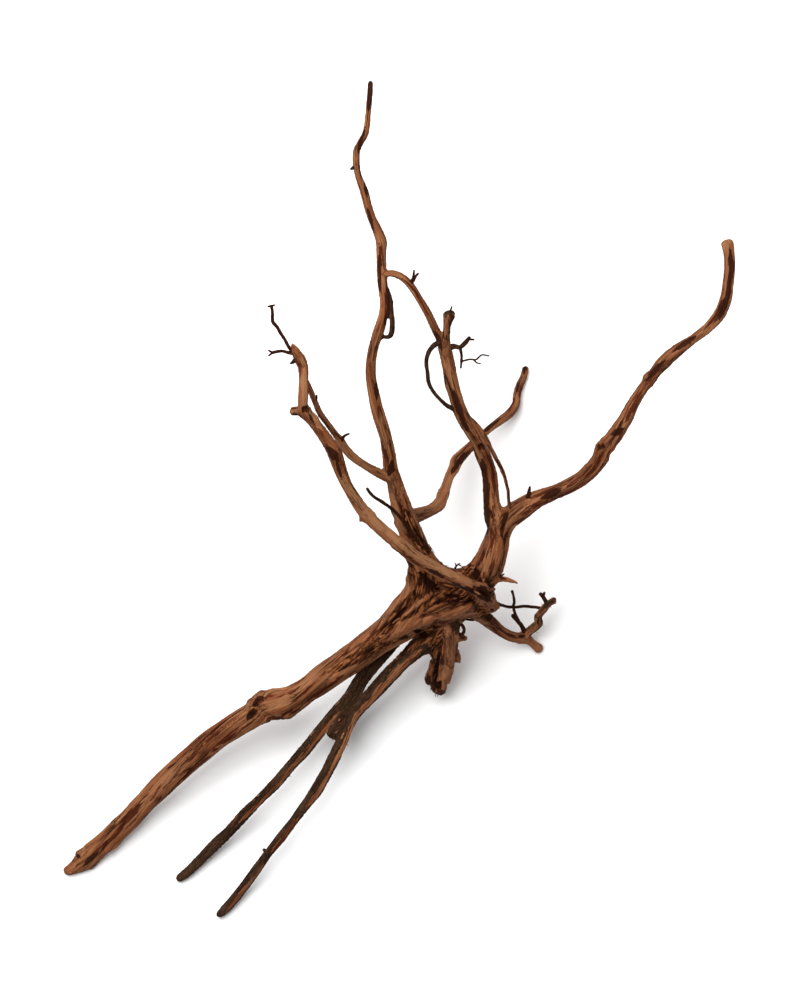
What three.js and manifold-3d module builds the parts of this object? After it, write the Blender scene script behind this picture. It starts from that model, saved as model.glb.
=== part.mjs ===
// A branching piece of aquarium driftwood: one grown solid, lying on the tips of its roots.
// Millimetres, +Z up. X runs across the piece and Y along its longest reach.
// The origin is under the middle of the piece, on the surface that it lies on.
import * as THREE from "three";
import { mergeVertices } from "three/addons/utils/BufferGeometryUtils.js";
import Module from "manifold-3d";

const WOOD_COLOUR = 0x8a5331;
const WOOD_ROUGHNESS = 0.72;

// The middle of the piece in the routes' own coordinates: it is brought to the origin.
const MIDDLE_X = -0.5;
const MIDDLE_Y = -0.2;

// The surface's slab, which levels the low tips into small flat spots.
const SLAB_SPAN = 700;
const SLAB_DEPTH = 20;

// A limb's section is round with a few shallow lobes that wind slowly along it.
const LOBES = [
  { count: 2, depth: 0.08, turns_per_mm: 0.0016 },
  { count: 3, depth: 0.05, turns_per_mm: -0.0011 },
  { count: 5, depth: 0.03, turns_per_mm: 0.0023 },
];
const LOBE_PHASE_STEP = 2.4;

// Sides of a limb's section, and how far apart its rings stand, by its thickest radius.
const SECTIONS = [
  { over: 6.5, sides: 11, ring_gap: 7.6 },
  { over: 3.4, sides: 9, ring_gap: 7.2 },
  { over: 2.2, sides: 7, ring_gap: 6.4 },
  { over: 0, sides: 5, ring_gap: 4.6 },
];

// How far a surface point may move where needless facets are taken out.
const FACET_TOLERANCE = 0.12;

// Where the rings of a rounded tip stand, in radii from the end, and how wide they are.
const TIP_RINGS = [
  { from_end: 0, width: 0.5 },
  { from_end: 0.5, width: 0.97 },
];

// Every limb is a route of [x, y, height, radius], from where it grows to its tip.
// The thick ones run on through the trunk, as the grain does.
const LIMBS = {
  long_root: [
    [59, -66, 62, 6], [48, -66.5, 62, 8.8], [35, -69.5, 61, 10.6], [20, -73, 60, 12],
    [5, -79, 58, 12], [-8, -86.5, 55, 10.8], [-19, -93.6, 52.5, 10], [-30, -101.6, 50, 9.4],
    [-40, -108.8, 47.5, 8.6], [-50, -116, 45, 8.5], [-60, -123.6, 42.5, 7.9], [-70, -129.4, 40, 8.7],
    [-80, -132, 38, 9.2], [-88, -134, 36.8, 8.9], [-96, -140, 35, 7.8], [-105, -145.4, 33, 7.3],
    [-120, -155.6, 30, 7.2], [-135, -168.4, 26.5, 6.7], [-155, -187, 20.5, 6.8], [-175, -207, 13.5, 6.4],
    [-188, -219.4, 9.6, 6.5], [-197, -227.6, 7.4, 6.6], [-204, -234.4, 5.4, 6], [-211.5, -239.4, 3.4, 4.2],
    [-218, -242.4, 2, 2.4],
  ],
  long_root_lump: [[-200, -229, 7, 4.5], [-206, -230, 8, 3.2], [-210.5, -231.2, 7.4, 2.1]],
  long_root_knot: [[-86, -133, 38, 7], [-91, -130, 40, 5.6], [-94, -128.6, 41, 3.4]],
  tall_limb: [
    [-20, -94, 54, 6.4], [-8, -84, 60, 8], [4, -72, 65, 9.6], [14.5, -57.5, 70, 9.4],
    [16.8, -44, 77, 9.2], [12.4, -31, 84, 7.2], [7.6, -20, 89, 7], [3.5, -10, 93, 6.4],
    [0.2, 0, 96, 5.6], [-2.5, 10, 100, 4.9], [-5.3, 20, 105, 4.3], [-6.5, 30, 110, 3.9],
    [-8.5, 40, 115, 3.7], [-11.6, 50, 119, 3.6], [-14.6, 60, 122, 3.5], [-16.6, 70, 124, 3.4],
    [-18.2, 80, 126, 3.3], [-18, 90, 129, 3.2], [-16.2, 100, 133, 3.4], [-12.7, 110, 137, 3.6],
    [-9.8, 120, 140, 3.2], [-9.2, 130, 141.5, 3.3], [-10.7, 140, 142, 3.1], [-11.3, 150, 143, 3],
    [-11.5, 160, 146, 3], [-11.4, 167, 149, 3.3], [-14.3, 175, 152, 2.8], [-17, 181, 153.5, 2.4],
    [-20, 190, 154.5, 2.3], [-22.2, 199, 157, 2.6], [-26.3, 210, 161, 2.2], [-27.5, 217, 162.5, 2.4],
    [-27.5, 225, 163, 2.4], [-25.5, 230, 164, 2.2], [-21.6, 237, 166.5, 2.2], [-19.9, 250, 168, 1.8],
    [-18.6, 264, 168, 1.9], [-18.3, 271, 167.5, 1.7],
  ],
  tall_limb_spur: [[-27.5, 216.5, 162.5, 1.7], [-30, 214.5, 163.5, 1.1], [-31.6, 213.8, 164, 0.8]],
  hanging_spur: [
    [-8.8, 138, 142, 1.6], [-5.8, 130, 143, 1.6], [-4.8, 120, 142.5, 1.7], [-4.5, 111, 141, 2],
    [-5.7, 106.2, 139.5, 1.9], [-9, 105.2, 137.5, 1.4], [-12.5, 106.5, 136, 1.2],
  ],
  stem: [
    [10, -73, 60, 8.5], [27, -66, 64, 12], [41, -60, 67, 11.4], [51, -52.5, 70, 9.6],
    [56.8, -44, 74, 8.4], [60.6, -35, 78, 7.7], [63.3, -27, 81, 7.5], [65, -19.5, 84.5, 7],
    [67, -14, 87, 5.2],
  ],
  web: [[16, -46.5, 71, 7], [24, -50, 68, 10], [37, -54.5, 67, 9.8], [50, -57.5, 67, 8.6]],
  bowed_limb: [
    [63.6, -27, 82, 6.2], [64.2, -19, 85.5, 6.3], [61.5, -10, 89, 5.6], [59.9, 0, 92, 5],
    [59.2, 10, 95.5, 4.7], [57.8, 20, 100.5, 4.6], [54.2, 30, 106, 4.6], [49.5, 40, 112, 4.3],
    [43.3, 50, 117, 4], [38.5, 60, 121, 4.1], [35.6, 70, 124, 4], [33.3, 80, 127, 4],
    [31.3, 90, 130.5, 4.3], [29.3, 98, 134, 4.6], [26.8, 104, 136.5, 3.5], [23.3, 110.5, 139, 2.7],
    [19, 120, 142.5, 2.3], [13, 130, 145.5, 2.3], [7.5, 138.6, 147, 2.3], [3, 143.3, 147, 2.3],
    [-3, 146.2, 145.5, 2.2], [-11, 146.4, 143, 2],
  ],
  bow_spur_left: [[7.6, 140, 147.5, 1.8], [9.3, 143.4, 149.5, 1.1], [9.8, 149, 152.5, 0.55]],
  bow_spur_right: [[8.6, 141.2, 148.5, 1.4], [10.6, 144.4, 149.5, 1], [12.8, 146.8, 150, 0.65]],
  knob_stub: [
    [29.6, 96, 134.5, 3.6], [30.3, 104, 139, 2.6], [30.8, 111, 143.5, 2.3], [31.5, 116, 147, 3],
    [32.4, 119.5, 149.5, 3.7], [32.7, 122, 151, 3.1],
  ],
  knob_spike: [[32.6, 121, 151.5, 0.8], [34.2, 125.4, 154.5, 0.5]],
  crotch_twig: [
    [30, 97.5, 134, 2.6], [35, 99.4, 135.5, 1.9], [39.5, 99, 138, 1.5], [43, 101.8, 141, 1.6],
    [46, 105.6, 143, 1.2],
  ],
  crotch_twig_tip: [[44.8, 104, 142, 1], [48.8, 103.8, 144.5, 0.55]],
  drop_twig: [[39.6, 99, 138, 1.1], [40.5, 94, 136, 0.9], [40.5, 89.5, 135.5, 0.9], [39.9, 85, 136, 0.6]],
  fine_twig: [
    [40.4, 89.6, 135.5, 0.75], [46.5, 91, 138, 0.6], [50, 91.2, 139.5, 0.6], [53.6, 93.8, 141, 0.55],
    [58.6, 93.2, 142, 0.5],
  ],
  fine_twig_fork: [[48, 91, 138.6, 0.6], [50.8, 88.7, 141, 0.5], [53, 88.2, 142, 0.5]],
  loop_twig: [
    [27, 102.5, 137, 2], [23, 100.2, 140, 1.8], [19.6, 96, 142.5, 1.5], [17.8, 90, 143.5, 1.4],
    [18.4, 82, 142, 1.3], [19.6, 74.5, 138.5, 1.3], [22, 70.6, 135.5, 1.2], [25.8, 66, 131, 1.2],
    [30.5, 61.5, 126, 1.4], [37, 58, 121, 1.6],
  ],
  side_rootlet: [
    [44, 54, 117.5, 1.8], [50.4, 46.8, 114.5, 1.6], [55, 39.6, 112.5, 1.4], [59, 32, 110, 1.2],
    [62, 26.5, 107, 1.05], [66, 19.5, 103, 1.15], [68.2, 13, 100, 0.95], [70, 5, 97.5, 0.9],
    [70.8, -2, 96, 0.9], [70.2, -9, 94, 0.9], [69, -15.5, 89, 0.9],
  ],
  reaching_limb: [
    [61.5, -32, 79, 5.8], [65, -21, 84, 6.6], [69.5, -13.5, 87.5, 6.7], [76, -8, 90, 6.7],
    [83, -3.2, 92, 6.4], [91, 1.4, 94.5, 5.6], [100, 5, 98, 4.9], [110, 9.3, 102.5, 4.6],
    [120, 15.6, 106.5, 4.9], [128, 24, 109, 5.4], [132.8, 33, 110.5, 5.1], [140, 42.3, 113, 5],
    [147, 53, 117.5, 4.2], [151, 61, 121, 3.7], [156.5, 70, 124, 3.5], [163, 79, 125.5, 3.8],
    [171, 88.6, 126, 4.3], [180, 96.8, 127.5, 3.8], [190, 103.8, 130, 3.1], [200.3, 111.8, 133.5, 3.1],
    [207.6, 120.5, 137, 3.6], [211.6, 130.7, 139.5, 3.4], [213.2, 141.5, 140.5, 3.2],
    [214.2, 151, 140, 3.4], [213.8, 160, 139, 3.1], [212.4, 168.6, 138.5, 3.8],
  ],
  reaching_knot: [[133, 33.5, 111, 4.2], [130, 36.8, 112.5, 2.4], [128.8, 38, 113, 1.5]],
  reaching_bump: [[162, 78.5, 125.5, 3], [159.6, 80.6, 126.5, 1.9], [158.6, 81.4, 127, 1.1]],
  reaching_stub: [[83.5, 0.5, 96, 1.8], [84.4, 6, 98.5, 1.1], [85, 9, 99.5, 0.7]],
  low_limb: [
    [3, -11, 90, 4.6], [10, -10.4, 83, 4.4], [15, -8.9, 75, 3.8], [20, -6.8, 67, 3.5],
    [26.3, -2.2, 57, 3.8], [29, 4.6, 49, 3.2], [31, 10, 44, 2.9], [32.8, 15, 39.5, 2.9],
    [36, 20.5, 34, 3.1], [38, 25.5, 29.5, 3.4], [41.8, 29.6, 26, 3.3], [46.3, 34.2, 23.5, 3],
    [50.4, 38.8, 21.5, 2.5], [54.5, 42.4, 19.5, 2.3], [60, 47.2, 16, 2.4], [65.8, 51.5, 12, 2.7],
    [72.2, 56.6, 7.8, 2.9], [76, 62.5, 5.4, 2.5], [76.6, 68.6, 4, 2.4], [78.2, 74.2, 2.7, 2.2],
    [81, 80.5, 1.6, 2], [82.6, 87.4, 1.2, 1.9],
  ],
  low_limb_nub: [[30, 3.6, 50, 2.2], [32.6, 3.2, 50.6, 1]],
  over_limb: [
    [52, -62, 60, 8.6], [56.6, -61.6, 72, 7.8], [56.6, -60.8, 84, 6.8], [53.5, -59.2, 94, 6],
    [47.5, -56.4, 101, 5.2], [40, -53, 106.5, 4.8], [30, -48, 112.5, 4.5], [20, -42.6, 119, 4.5],
    [10, -36.6, 126, 4.5], [0, -28.5, 132, 4.2], [-10, -20, 137, 4.1], [-20, -10.5, 143, 4.1],
    [-28, 0, 150, 3.5], [-34, 10, 156, 3.2], [-38, 20, 160.5, 3.2], [-41, 29, 163.5, 4],
    [-47.6, 40, 167, 3.3], [-55.3, 50, 171.5, 3.2], [-60.2, 55.8, 175, 3.6], [-62.2, 61, 178.5, 3],
    [-62, 67, 181.5, 2.7], [-61.7, 76, 184, 2.6], [-62, 85, 185, 2.8], [-63.8, 90.6, 186, 3.1],
    [-67.2, 96.4, 188, 2.3], [-69.3, 101.4, 190, 0.8],
  ],
  over_limb_knob: [[-60, 56, 175, 3.2], [-65.5, 57.4, 174.5, 2.6], [-69.4, 57, 173.5, 2.9]],
  over_limb_spur: [[-21, -9.8, 143, 2.6], [-24.4, -12.8, 144.5, 1.6], [-25.6, -14.8, 145, 0.9]],
  over_limb_nick: [[-1, -29, 132, 2.6], [-4.6, -31.6, 133, 1.1]],
  over_dark_twig: [
    [-67, 95, 187.5, 1.6], [-70.6, 98, 189, 1.25], [-74.6, 105, 189.5, 1.15], [-79, 112, 188.5, 1.15],
    [-81.5, 115, 188.5, 1.25], [-81.5, 120, 190.5, 1.1], [-82.4, 125.4, 193, 1],
  ],
  over_twig_bar: [[-85, 124.6, 193, 0.55], [-82.4, 125.2, 193, 0.8], [-79.8, 126, 193.5, 0.5]],
  over_side_twig: [[-66, 94.4, 187, 1.6], [-71, 95.2, 187.5, 1.15], [-76, 96, 188.5, 1.05], [-82.4, 94.9, 190, 1.1]],
  over_side_tip_up: [[-81.6, 95, 190, 0.8], [-84.4, 96.7, 191.5, 0.6]],
  over_side_tip_down: [[-81.6, 95, 190, 0.8], [-84.6, 93, 190, 0.6]],
  over_low_spur: [[-65, 91.5, 186, 2], [-68.2, 89.4, 186, 1.4], [-70.4, 87.8, 186.5, 0.6]],
  slim_limb: [
    [0, 8, 100, 3.6], [-4, 12.6, 103, 3.2], [-10, 16, 107, 2.7], [-20, 21.2, 114, 2.4],
    [-30, 28, 122.5, 2.5], [-35, 33.4, 128, 2.6], [-38, 38, 133, 2.6], [-41.5, 42.8, 138.5, 2],
    [-46.3, 49.3, 146, 1.8], [-51, 55.7, 153, 1.7], [-54.1, 62.8, 160.5, 1.6],
    [-56.6, 69.2, 168.5, 1.4], [-59.3, 76, 178, 1.3], [-61.5, 79.5, 184, 1.3],
  ],
  slim_limb_spur: [[-38, 38, 134, 1.5], [-35, 41.8, 137, 0.9], [-31.8, 43, 138.5, 0.6]],
  slim_limb_bud: [[-54, 64, 162, 1.3], [-53, 68, 165, 0.6]],
  laid_twig: [
    [16, -34, 86, 1.5], [12.8, -28.6, 91.5, 1.3], [9.4, -22.5, 96, 1.2], [5, -16.5, 100.5, 1.15],
    [2, -12.6, 103.5, 1.15], [-1.4, -8.9, 106, 1.15], [-5.8, -4.8, 110, 1.15], [-11.4, -0.9, 114.5, 1.15],
    [-15.3, 1.4, 116.5, 1.05], [-18.8, 4.8, 117.5, 1.05], [-21, 8, 118, 1],
  ],
  dark_root_near: [
    [16, -74, 56, 8], [3, -84, 47, 5.6], [-8, -96.4, 40.5, 4.8], [-20.4, -111, 35, 4],
    [-26, -119, 33, 3.8], [-31, -128, 31, 4.2], [-39, -136.4, 29, 4], [-50, -148.4, 27, 3.4],
    [-60, -160.8, 25, 3.3], [-70, -172.3, 22, 3.4], [-80, -184, 19.5, 3.1], [-90, -194.2, 17.5, 3.3],
    [-100, -204.3, 15, 3.4], [-110, -215.2, 12, 3.7], [-120, -224.8, 9, 4.1], [-130, -235, 6, 4],
    [-139, -243.4, 2.8, 3.4], [-144.6, -247.2, 1.2, 1.6],
  ],
  dark_root_far: [
    [30, -78, 56, 9], [21, -88, 50, 7.6], [11, -97, 46, 5.4], [1.4, -106, 44, 4.6],
    [-9, -117, 42, 4], [-19.5, -128.2, 40, 4], [-28.6, -138, 37.5, 4.1], [-33, -147, 35.5, 3.7],
    [-36.2, -154.5, 34, 3.3], [-39, -161, 32.5, 2.8], [-43.2, -170, 30, 2.8], [-48.6, -180, 27, 2.9],
    [-54.4, -189.6, 24.5, 3.1], [-61.8, -199.5, 22, 2.8], [-69.3, -209.5, 20, 2.8], [-77, -219.6, 18, 2.6],
    [-85, -229.7, 15.5, 2.7], [-92.4, -240, 12.5, 2.5], [-99.4, -249.8, 9.5, 2.6], [-107.4, -260, 6.5, 2.4],
    [-113.4, -266.6, 4.4, 2.4], [-118.4, -271, 3, 1.2],
  ],
  dark_root_spur: [[-86, -229.4, 16, 1.9], [-88.6, -227, 18, 0.8]],
  broken_side_root: [
    [-24, -132, 40, 3.6], [-29.4, -136.6, 37, 4.4], [-36, -143.6, 34, 4.7], [-42.5, -150.6, 31.5, 4.3],
    [-45.5, -153.8, 30, 3.6],
  ],
  stump: [
    [32, -68, 58, 9], [30.5, -83, 49, 9.8], [28.6, -94, 39, 9.6], [29.4, -104, 30, 8.2],
    [27.4, -112.6, 22.5, 7.3], [26, -119.6, 16, 6.4], [25.5, -125, 11.5, 5],
  ],
  stump_lobe: [[26, -102, 33, 5], [21.5, -110, 26, 4.2], [19.6, -116, 21, 3.4], [20.2, -119.8, 18, 2.4]],
  stump_shoulder: [[22, -84, 49, 8], [18, -93, 43, 6.4], [19.5, -99, 38, 4]],
  stump_side_spur: [[36, -98, 37, 3.4], [39, -104.6, 34, 1.6], [39.8, -106, 33, 0.9]],
  stump_thorn: [[36, -87, 46, 3], [41, -89.4, 46, 1.8], [44.7, -90.2, 47, 0.7]],
  curled_rootlet: [
    [36.5, -79, 55, 1.5], [40, -80.4, 57.5, 1.2], [42.3, -84, 57.5, 1.1], [40.6, -87.6, 54, 1.1],
    [37, -86.4, 50, 1.1],
  ],
  under_twig: [[38, -76, 54, 1.2], [44, -77.7, 52, 0.8], [48.8, -78.3, 51, 0.6]],
  prop_root: [
    [42, -68, 53, 7], [49.6, -72.6, 45, 5.8], [55, -76, 38.5, 5.1], [60, -80, 32, 4.7],
    [66, -85, 25, 4.1], [72, -88.4, 19, 3.7], [78, -89.6, 14, 3.2], [82.4, -89.8, 10.5, 3],
    [87, -93.3, 6, 2.5], [91, -96.6, 2.7, 3.4], [92.8, -98.2, 1.8, 3.2],
  ],
  prop_fork: [
    [81, -89, 12, 2.6], [84.4, -85.8, 14.5, 2.5], [88.4, -82.9, 17.5, 2.6], [91, -80.2, 20.5, 2.3],
    [90.4, -77.2, 23.5, 2.1], [91.4, -74.7, 26.5, 2.2], [94, -71.5, 30, 1.9], [96.6, -68.2, 34, 1.8],
    [99.2, -66.2, 37, 1.6], [102, -65.2, 39, 1.9],
  ],
  prop_fork_twig: [[96.8, -68.6, 33.5, 1.7], [94.2, -64.2, 38, 1.35], [91.4, -60.4, 41, 1.15]],
  prop_fork_spur: [[93.4, -63.4, 38.6, 1], [94.7, -59.8, 41.5, 0.85]],
  prop_fork_lobe: [[91, -76, 25, 2], [88.2, -74.8, 26.5, 1.4]],
  prop_dark_twig: [
    [82.4, -88, 12, 2], [80.4, -83.2, 17, 1.5], [77.8, -79.3, 21.5, 1.4], [74.6, -75.8, 26, 1.35],
    [73.4, -74.4, 27, 1.2],
  ],
  upright_twig: [
    [78, -79.4, 21.5, 1.2], [75.4, -73.8, 29, 1], [74.2, -69.8, 35, 0.95], [75, -66.2, 40, 0.9],
    [74.4, -62.4, 44.5, 0.85], [73.3, -58.8, 48, 1],
  ],
  cross_twig: [
    [54, -64, 56, 2.2], [62.8, -66.9, 45.5, 1.2], [66.6, -68.2, 40, 1], [70, -69.4, 35.5, 1],
    [76, -69.5, 30, 0.95], [82, -69, 27.6, 0.95], [88, -69.7, 27.8, 1], [94.5, -70.8, 30, 1.1],
  ],
  end_spike: [
    [55, -54, 69, 5], [61.4, -51.6, 71, 3], [66, -51.3, 72.5, 1.8], [71, -51.9, 74, 1.35],
    [75, -53.2, 75.5, 0.95], [77.6, -54.4, 76.5, 0.55],
  ],
  end_twiglet: [[63, -50.4, 72, 1], [66.4, -49.3, 75, 0.7], [68.4, -47.8, 76, 0.5]],
  torn_end: [[46, -66, 61, 8.8], [54.5, -67.2, 60, 7], [60, -69.4, 59, 4.8], [62, -72.4, 58, 2.2]],
};

const wasm = await Module();
wasm.setup();

// The section row for a limb of this thickest radius.
function sectionFor(thickest) {
  return SECTIONS.find((row) => thickest > row.over);
}

// Radius at the curve's own parameter, taken in a straight line between route points.
function radiusAt(route, t) {
  const place = t * (route.length - 1);
  const before = Math.min(Math.floor(place), route.length - 2);
  return THREE.MathUtils.lerp(route[before][3], route[before + 1][3], place - before);
}

// Share of the plain radius that the lobes give at this distance along and angle round.
function lobeShare(distance, angle, phase) {
  let share = 1;
  for (const lobe of LOBES) {
    const wind = 2 * Math.PI * lobe.turns_per_mm * distance;
    share += lobe.depth * Math.sin(lobe.count * (angle + wind) + phase * lobe.count);
  }
  return share;
}

// Distances along a limb at which its rings stand, with each ring's share of the full width.
function ringsOf(length, startRadius, endRadius, gap) {
  const start = TIP_RINGS.map((tip) => ({ at: tip.from_end * startRadius, width: tip.width }));
  const end = TIP_RINGS.map((tip) => ({ at: length - tip.from_end * endRadius, width: tip.width }));
  const from = start.at(-1).at;
  const span = end.at(-1).at - from;
  const count = Math.max(1, Math.round(span / gap));
  const middle = [];
  for (let i = 1; i < count; i++) {
    middle.push({ at: from + (span * i) / count, width: 1 });
  }
  return [...start, ...middle, ...end.reverse()];
}

// A limb as a geometry: a cylinder's vertices carried along the smooth curve through the route.
function limbGeometry(route, index) {
  const curve = new THREE.CatmullRomCurve3(route.map(([x, y, z]) => new THREE.Vector3(x, y, z)));
  const length = curve.getLength();
  const thickest = Math.max(...route.map((point) => point[3]));
  const { sides, ring_gap: gap } = sectionFor(thickest);
  const rings = ringsOf(length, route[0][3], route.at(-1)[3], gap);
  const geometry = new THREE.CylinderGeometry(1, 1, 1, sides, rings.length - 1);
  const frameCount = 4 * rings.length;
  const frames = curve.computeFrenetFrames(frameCount, false);
  const position = geometry.attributes.position;
  const vertex = new THREE.Vector3();
  for (let i = 0; i < position.count; i++) {
    vertex.fromBufferAttribute(position, i);
    const ring = rings[Math.round((0.5 - vertex.y) * (rings.length - 1))];
    const u = THREE.MathUtils.clamp(ring.at / length, 0, 1);
    const onAxis = Math.hypot(vertex.x, vertex.z) < 0.5;
    const angle = Math.atan2(vertex.z, vertex.x);
    const plain = radiusAt(route, curve.getUtoTmapping(u)) * ring.width;
    const radius = onAxis ? 0 : plain * lobeShare(ring.at, angle, index * LOBE_PHASE_STEP);
    const frame = Math.round(u * frameCount);
    vertex.copy(curve.getPointAt(u));
    vertex.addScaledVector(frames.normals[frame], radius * Math.cos(angle));
    vertex.addScaledVector(frames.binormals[frame], radius * Math.sin(angle));
    position.setXYZ(i, vertex.x, vertex.y, vertex.z);
  }
  return geometry;
}

// A closed geometry as a solid that can be joined and cut. A solid that came out inside out is turned.
function solidOf(geometry) {
  geometry.deleteAttribute("normal");
  geometry.deleteAttribute("uv");
  const merged = mergeVertices(geometry, 1e-4);
  const triVerts = new Uint32Array(merged.index.array);
  const vertProperties = merged.attributes.position.array;
  const solid = new wasm.Manifold(new wasm.Mesh({ numProp: 3, vertProperties, triVerts }));
  if (solid.volume() > 0) return solid;
  for (let i = 0; i < triVerts.length; i += 3) {
    [triVerts[i + 1], triVerts[i + 2]] = [triVerts[i + 2], triVerts[i + 1]];
  }
  return new wasm.Manifold(new wasm.Mesh({ numProp: 3, vertProperties, triVerts }));
}

// A solid's surface as a geometry again.
function geometryOf(solid) {
  const mesh = solid.getMesh();
  const geometry = new THREE.BufferGeometry();
  geometry.setAttribute("position", new THREE.BufferAttribute(mesh.vertProperties, 3));
  geometry.setIndex(new THREE.BufferAttribute(mesh.triVerts, 1));
  geometry.computeVertexNormals();
  return geometry;
}

// All limbs grown together, levelled where they meet the surface.
function driftwoodSolid() {
  let wood = null;
  Object.values(LIMBS).forEach((route, index) => {
    const limb = solidOf(limbGeometry(route, index));
    wood = wood ? wood.add(limb) : limb;
  });
  const slab = new THREE.BoxGeometry(SLAB_SPAN, SLAB_SPAN, SLAB_DEPTH);
  slab.translate(0, 0, -SLAB_DEPTH / 2);
  return wood.subtract(solidOf(slab)).asOriginal().simplify(FACET_TOLERANCE);
}

const driftwood = new THREE.Mesh(
  geometryOf(driftwoodSolid()),
  new THREE.MeshStandardMaterial({ color: WOOD_COLOUR, roughness: WOOD_ROUGHNESS, metalness: 0 }),
);
driftwood.name = "driftwood";
driftwood.position.set(-MIDDLE_X, -MIDDLE_Y, 0);

const piece = new THREE.Group();
piece.name = "aquarium_driftwood";
piece.add(driftwood);

export default piece;
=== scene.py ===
"""Aquarium driftwood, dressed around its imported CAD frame.

The piece is one natural growth. Its limbs are carried along smooth routes, grown together into one
skin, and given flutes, fissures, knots, hollows and bark. Thin twigs, hair roots and torn slivers
are pieces of their own that ride with it. Routes are in millimetres, as the CAD source gives them.
"""

from __future__ import annotations

import logging
import math
from dataclasses import dataclass, field
from enum import Enum, IntEnum

import bpy
import numpy as np
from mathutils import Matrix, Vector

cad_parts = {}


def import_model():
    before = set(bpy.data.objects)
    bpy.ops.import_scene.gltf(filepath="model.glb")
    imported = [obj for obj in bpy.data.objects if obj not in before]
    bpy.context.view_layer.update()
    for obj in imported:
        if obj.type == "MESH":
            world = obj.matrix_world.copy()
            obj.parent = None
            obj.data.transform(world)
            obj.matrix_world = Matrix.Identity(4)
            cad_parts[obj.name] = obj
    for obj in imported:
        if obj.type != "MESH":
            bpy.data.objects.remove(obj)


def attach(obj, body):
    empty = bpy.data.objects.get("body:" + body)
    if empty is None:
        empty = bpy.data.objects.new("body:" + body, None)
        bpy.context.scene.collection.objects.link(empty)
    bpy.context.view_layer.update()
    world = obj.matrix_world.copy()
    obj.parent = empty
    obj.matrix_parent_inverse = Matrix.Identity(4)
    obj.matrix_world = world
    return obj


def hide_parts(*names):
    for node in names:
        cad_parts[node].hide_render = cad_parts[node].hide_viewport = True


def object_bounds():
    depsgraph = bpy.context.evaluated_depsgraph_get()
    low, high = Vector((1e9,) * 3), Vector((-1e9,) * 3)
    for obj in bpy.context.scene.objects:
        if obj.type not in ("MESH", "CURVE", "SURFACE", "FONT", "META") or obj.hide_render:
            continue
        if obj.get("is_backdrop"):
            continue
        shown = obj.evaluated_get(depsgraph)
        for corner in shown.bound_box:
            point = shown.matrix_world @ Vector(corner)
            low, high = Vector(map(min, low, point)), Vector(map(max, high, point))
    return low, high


LOG = logging.getLogger("driftwood")

MM = 0.001
NODE = "driftwood"
BODY = "root"

# The middle of the piece in the routes' own coordinates, as in the CAD source.
MIDDLE = np.array([-0.5, -0.2, 0.0])

# How far the grain of two limbs lies apart, in mm, and how fast it winds round a limb, a mm.
GRAIN_SHIFT = 131.0
GRAIN_TWIST = 0.011

# The lobes of a limb's section, as in the CAD source: how many, their depth as a share of the
# radius, and the turns they make in a mm. LOBE_PHASE turns each limb's lobes by its lobe index.
LOBES = ((2, 0.08, 0.0016), (3, 0.05, -0.0011), (5, 0.03, 0.0023))
LOBE_PHASE = 2.4

# Steps of the smooth line between two route points, and the fewest places on a path.
STRETCH_STEPS = 40
FEWEST_PLACES = 6

# How far a tube's rounded end reaches and how small it gets, as shares of its radius.
END_REACH = 0.8
END_LEAST = 0.12

# How many points are compared with all limbs, and with all marks, at a time.
LIMB_CHUNK = 6000
MARK_CHUNK = 20000

TINY = 1e-3

Array = np.ndarray
Route = tuple[tuple[float, float, float, float], ...]
Line = tuple[tuple[float, float, float], ...]
Scale = tuple[float, float, float]
Colour = tuple[float, float, float, float]


class Bark(Enum):
    """How much of its bark a limb has kept."""

    PEELED = 0.0
    STREAKED = 0.45
    BARKED = 1.0
    BLACK = 1.6


class MarkKind(Enum):
    """What a mark on the wood is."""

    DARK = "dark"
    RED = "red"
    BARK = "bark"
    HOLLOW = "hollow"
    PALE = "pale"
    PEELED = "peeled"
    KNOT = "knot"
    RIDGE = "ridge"


class Seed(IntEnum):
    """Which noise pattern each part of the relief uses."""

    FLUTE = 3
    RIB = 5
    LUMP = 7
    STRAND = 11
    RILL = 12
    FISSURE = 13
    FIBRE = 17
    BARK = 19
    RAGGED = 23
    EDGE = 29
    ROUGH = 43
    KNOBBLE = 61
    FINE_KNOBBLE = 67
    TWIG_BARK = 71
    CROOK = 73


@dataclass(frozen=True)
class Limb:
    """A limb's route, of (x, y, height, radius) rows in mm, and how it is dressed.

    The fillet says how full its corners with other limbs are, as a share of the usual. The lobe
    index turns its lobes, and grain_from names the limb whose grain it carries on.
    """

    name: str
    route: Route
    bark: Bark = Bark.PEELED
    fillet: float = 1.0
    lobe_index: int = 0
    grain_from: str = ""


@dataclass(frozen=True)
class Marks:
    """Marks of one kind on a limb's upper side: lines of (x, y, half width) rows in mm, from above.

    The limb "trunk" stands for whichever of the trunk's limbs is highest there.
    """

    kind: MarkKind
    limb: str
    lines: tuple[Line, ...]


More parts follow.
